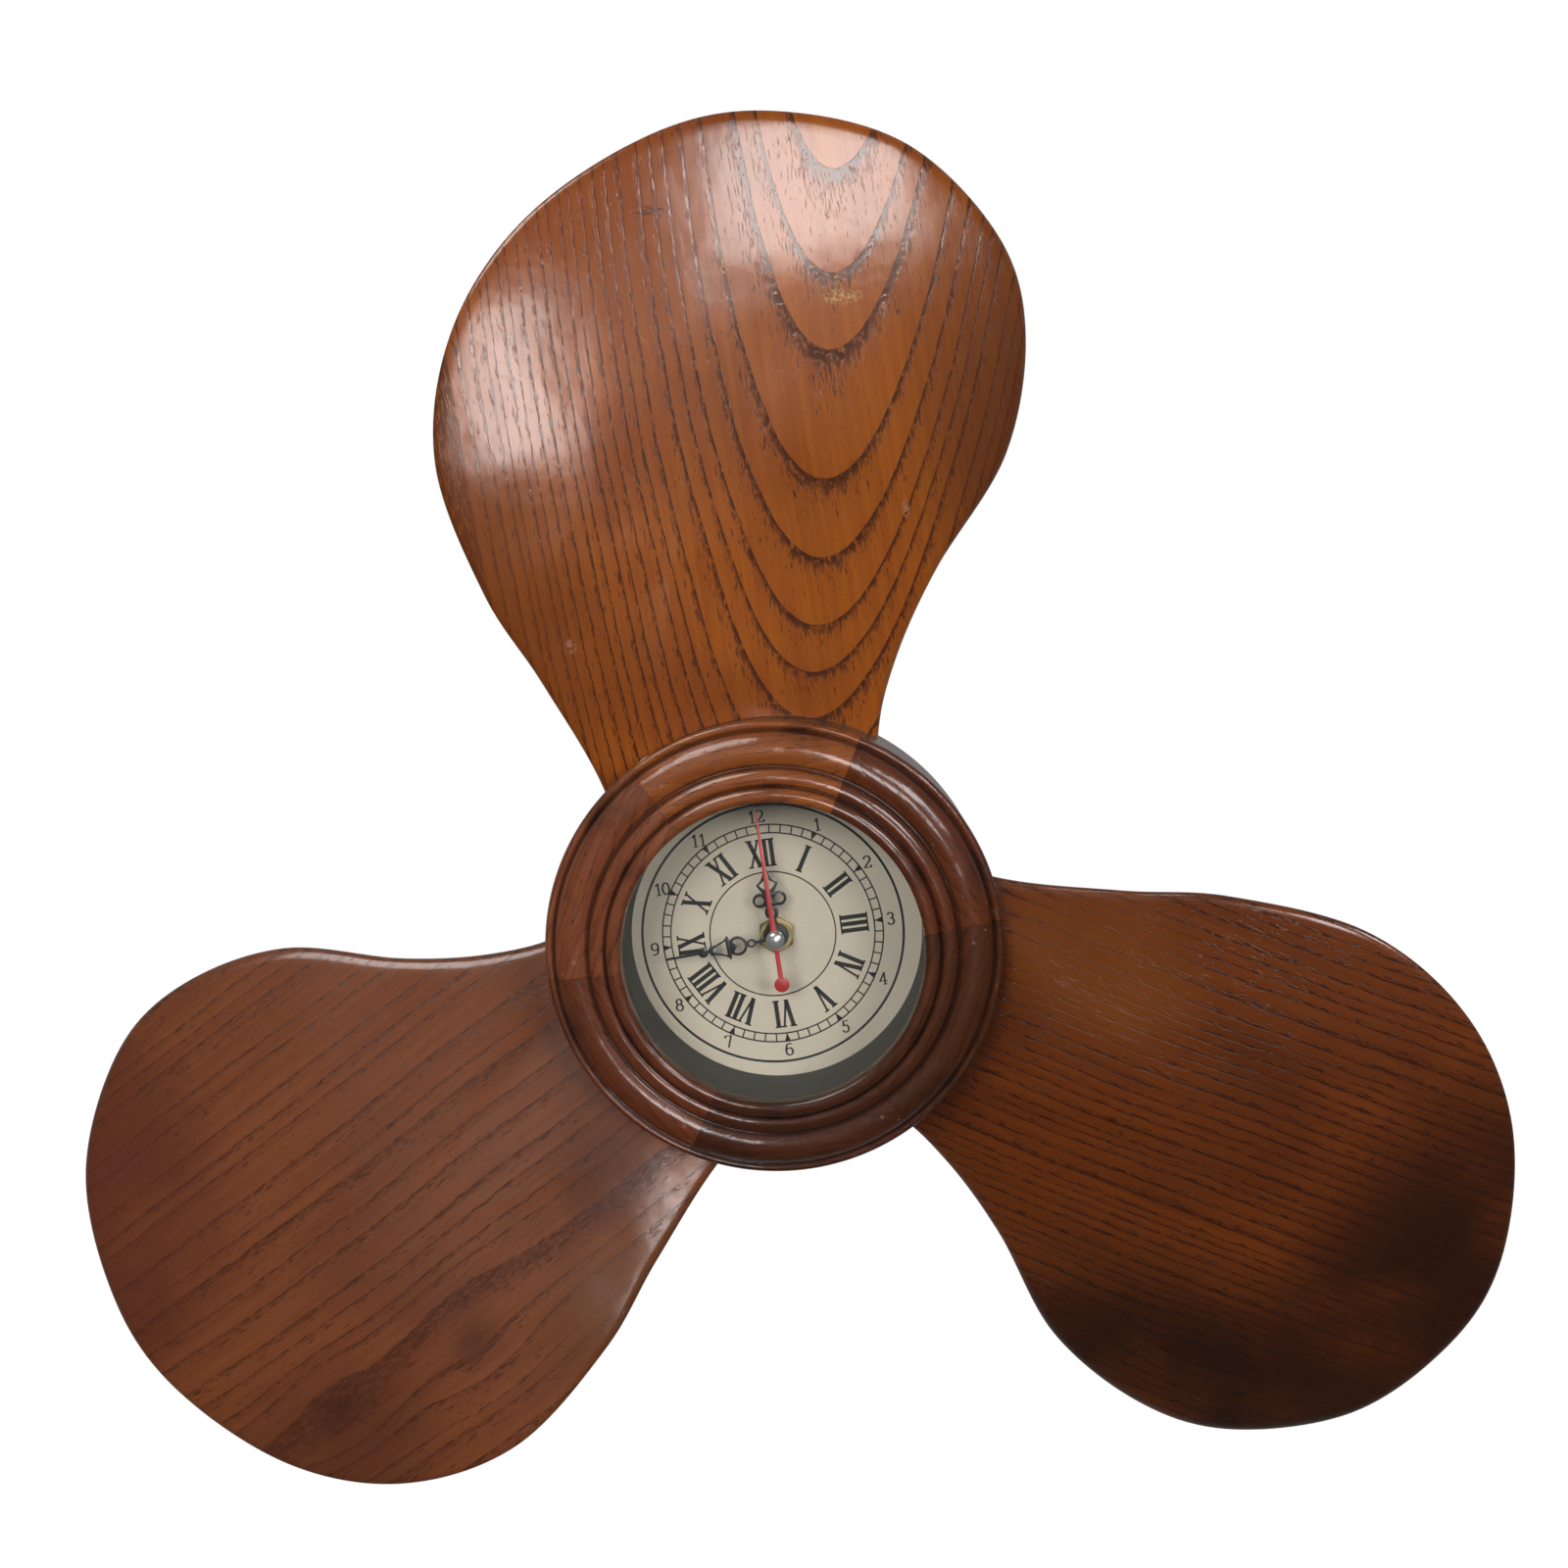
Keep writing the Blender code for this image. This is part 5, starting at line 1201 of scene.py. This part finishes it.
def cover_bar(x_low, x_high, y_low, y_high, out=0.3 * MM):
    """A low bar moulded on the back cover, its foot sunk in the cover."""
    return block((x_low, y_low, COVER_BACK - out), (x_high, y_high, COVER_BACK + 0.2 * MM), chamfer=0.15 * MM)


bars = []
for share in (0.70, 0.76, 0.82, 0.88):
    rib_y = cover_foot + share * (cover_high.z - cover_low.z)
    bars.append(cover_bar(cover_low.x + 5 * MM, -2 * MM, rib_y, rib_y + 1.0 * MM, out=0.35 * MM))
for x_low, x_high, y_low in (
    (cover_low.x + 1.0 * MM, cover_low.x + 1.8 * MM, cover_foot + 1.0 * MM),
    (cover_high.x - 1.8 * MM, cover_high.x - 1.0 * MM, cover_foot + 1.0 * MM),
    (cover_low.x + 2.1 * MM, cover_high.x - 2.1 * MM, cover_head - 1.8 * MM),
):
    bars.append(cover_bar(x_low, x_high, y_low, cover_head - 1.0 * MM))
WELL_CURVE = [(1.6, 0.2), (1.6, -0.2), (1.4, -0.35), (1.0, -0.35), (0.8, -0.2), (0.8, 0.2)]
well_profile = [(KNOB_RADIUS + out * MM, COVER_BACK + up * MM) for out, up in WELL_CURVE]
knob_well = turned(well_profile, 64, knob_centre)
finished("moulded_cover_ribs", merged(*bars, knob_well), BLACK_PLASTIC)

cell_low, cell_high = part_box("battery")
cell_middle = (cell_low + cell_high) / 2
CELL_RADIUS = (cell_high.z - cell_low.z) / 2
cell_end = (cell_high.x - cell_low.x) / 2
cell = turned([
    (0, cell_end), (2.3 * MM, cell_end), (2.6 * MM, cell_end - 0.3 * MM), (2.6 * MM, cell_end - 1.3 * MM),
    (CELL_RADIUS - 0.9 * MM, cell_end - 1.5 * MM), (CELL_RADIUS - 0.3 * MM, cell_end - 1.8 * MM),
    (CELL_RADIUS, cell_end - 2.4 * MM), (CELL_RADIUS, -cell_end + 0.7 * MM),
    (CELL_RADIUS - 0.2 * MM, -cell_end + 0.25 * MM), (CELL_RADIUS - 0.7 * MM, -cell_end + 0.1 * MM),
    (CELL_RADIUS - 1.6 * MM, -cell_end), (0, -cell_end),
], 72)
bmesh.ops.transform(cell, matrix=Matrix.Translation(cell_middle) @ Matrix.Rotation(math.pi / 2, 4, "Y"),
                    verts=cell.verts)
WRAPPED_CELL = battery_look(cell_middle.x)
finished("wrapped_battery", cell, WRAPPED_CELL, replaces=["battery"],
         stands=False)

# ---------------------------------------------------------------- finishes of the frame's own pieces
NODE_LOOKS = {
    GLASS: ["dial_glass"],
    PAPER: ["dial_paper"],
    BOARD: ["dial_board"],
    DOWEL_WOOD: [f"{blade}_{side}_dowel" for blade in BLADES for side in ("high", "low")],
    STEEL: ["hanger_plate", "hanger_screw_left", "hanger_screw_right", "positive_contact",
            "negative_contact", "stator", "coil_core", "quartz_crystal"],
    BLACK_PLASTIC: ["movement_case", "movement_back_cover", "setting_knob"],
    RUBBER: ["rubber_washer"],
    WHITE_PLASTIC: ["hour_wheel", "minute_cannon", "centre_wheel", "reverser_wheel", "seconds_wheel",
                    "third_wheel", "middle_wheel"],
    MAGNET: ["rotor"],
    COIL: ["motor_coil"],
    CIRCUIT: ["circuit_board"],
    WRAPPED_CELL: ["battery"],
}
for look, nodes in NODE_LOOKS.items():
    for node in nodes:
        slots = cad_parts[node].data.materials
        slots.clear()
        slots.append(look)

# ---------------------------------------------------------------- studio


def area_light(name, place, aim, width, height, radiance, lighting=True, mirrored=True):
    """A soft window of light of one brightness, turned towards the piece it lights."""
    light = bpy.data.lights.new(name, "AREA")
    light.shape = "RECTANGLE"
    light.size, light.size_y = width, height
    light.energy = radiance * math.pi * width * height
    made = bpy.data.objects.new(name, light)
    bpy.context.scene.collection.objects.link(made)
    made.location = place
    made.rotation_euler = (Vector(aim) - Vector(place)).to_track_quat("-Z", "Y").to_euler()
    made.visible_diffuse = lighting
    made.visible_glossy = mirrored
    return made


# A pale seamless sweep: floor, rounded corner, wall and ceiling. Only the camera sees it, so that
# the varnish mirrors the windows and the dim room, not the sweep.
SWEEP_FLOOR = -1.1
SWEEP_RADIUS = 5.0
SWEEP_TOP = 5.0
sweep_profile = [(0, SWEEP_TOP), (SWEEP_RADIUS * 0.7, SWEEP_TOP), (SWEEP_RADIUS, SWEEP_TOP * 0.6),
                 (SWEEP_RADIUS, SWEEP_FLOOR + 1.5), (SWEEP_RADIUS - 0.5, SWEEP_FLOOR + 0.4),
                 (SWEEP_RADIUS - 1.5, SWEEP_FLOOR), (0, SWEEP_FLOOR)]
sweep_path = [tuple(point) for point in smooth_path(sweep_profile, 6)]
floor = as_object("studio_floor", turned(sweep_path, 64))
floor_recipe = Recipe("pale_studio_floor")
floor_tone = floor_recipe.blend(floor_recipe.noise(floor_recipe.object_place, scale=0.8),
                                (0.985, 0.985, 0.985), (1.0, 1.0, 1.0))
floor_recipe.colour((0.02, 0.02, 0.02))
floor_recipe.roughness(0.9)
floor_recipe.feed(floor_recipe.shader.inputs["Emission Color"], floor_tone)
floor_recipe.constant(Emission_Strength=1.0)
floor.data.materials.append(floor_recipe.look)
floor.visible_diffuse = False
floor.visible_glossy = False
floor.visible_transmission = False
floor.visible_shadow = False

DIAL_MIDDLE = (0, -DIAL_FACE, SHAFT_Z)
area_light("soft_key", (-0.75, -2.6, 0.85), DIAL_MIDDLE, 1.1, 1.1, 8.6, mirrored=False)
area_light("right_fill", (1.5, -2.5, 0.4), DIAL_MIDDLE, 0.9, 0.9, 9.5, mirrored=False)
area_light("high_window", (-0.9, -1.5, 2.6), DIAL_MIDDLE, 1.5, 1.5, 9.6, lighting=False)
area_light("front_window", (0.40, -2.45, 0.27), (-0.08, 0, 0.10), 0.42, 0.74, 13.0, lighting=False)
area_light("front_curtain", (0.43, -2.50, 0.27), (-0.08, 0, 0.10), 0.62, 0.98, 5.5, lighting=False)
area_light("right_window", (1.62, -1.85, 0.97), (0, 0, 0.20), 0.75, 0.62, 12.5, lighting=False)
area_light("right_curtain", (1.66, -1.89, 0.99), (0, 0, 0.20), 1.00, 0.80, 5.0, lighting=False)

world = bpy.data.worlds.new("studio_air")
world.use_nodes = True
bpy.context.scene.world = world
air = world.node_tree
side = air.nodes.new("ShaderNodeSeparateXYZ")
air.links.new(air.nodes.new("ShaderNodeTexCoord").outputs["Generated"], side.inputs[0])
spread = air.nodes.new("ShaderNodeMapRange")
spread.interpolation_type = "SMOOTHSTEP"
spread.inputs["From Min"].default_value = -0.35
spread.inputs["From Max"].default_value = 0.45
spread.inputs["To Min"].default_value = 0.03
spread.inputs["To Max"].default_value = 0.34
air.links.new(side.outputs["Y"], spread.inputs["Value"])
air.links.new(spread.outputs["Result"], air.nodes["Background"].inputs["Strength"])
air.nodes["Background"].inputs["Color"].default_value = (1.0, 1.0, 1.0, 1)

# ---------------------------------------------------------------- camera
# The view in the dial's own plane: the dial is tilted, turned and rolled before the lens.
VIEW_TILT = 0.10635
VIEW_TURN = -0.03403
VIEW_ROLL = 0.14006
VIEW_SHIFT = (-0.00253, -0.05010, -0.52509)
seen = (
    Matrix.Translation(VIEW_SHIFT)
    @ Matrix.Rotation(VIEW_TILT, 4, "X")
    @ Matrix.Rotation(VIEW_TURN, 4, "Y")
    @ Matrix.Rotation(VIEW_ROLL, 4, "Z")
)
lying_dial = Matrix.Translation(DIAL_MIDDLE) @ Matrix.Rotation(math.pi / 2, 4, "X")
camera = bpy.data.objects.new("camera", bpy.data.cameras.new("camera"))
bpy.context.scene.collection.objects.link(camera)
camera.data.sensor_width = 36
camera.data.lens = 36
camera.matrix_world = lying_dial @ seen.inverted()
bpy.context.scene.camera = camera
bpy.context.scene.view_settings.view_transform = "Standard"
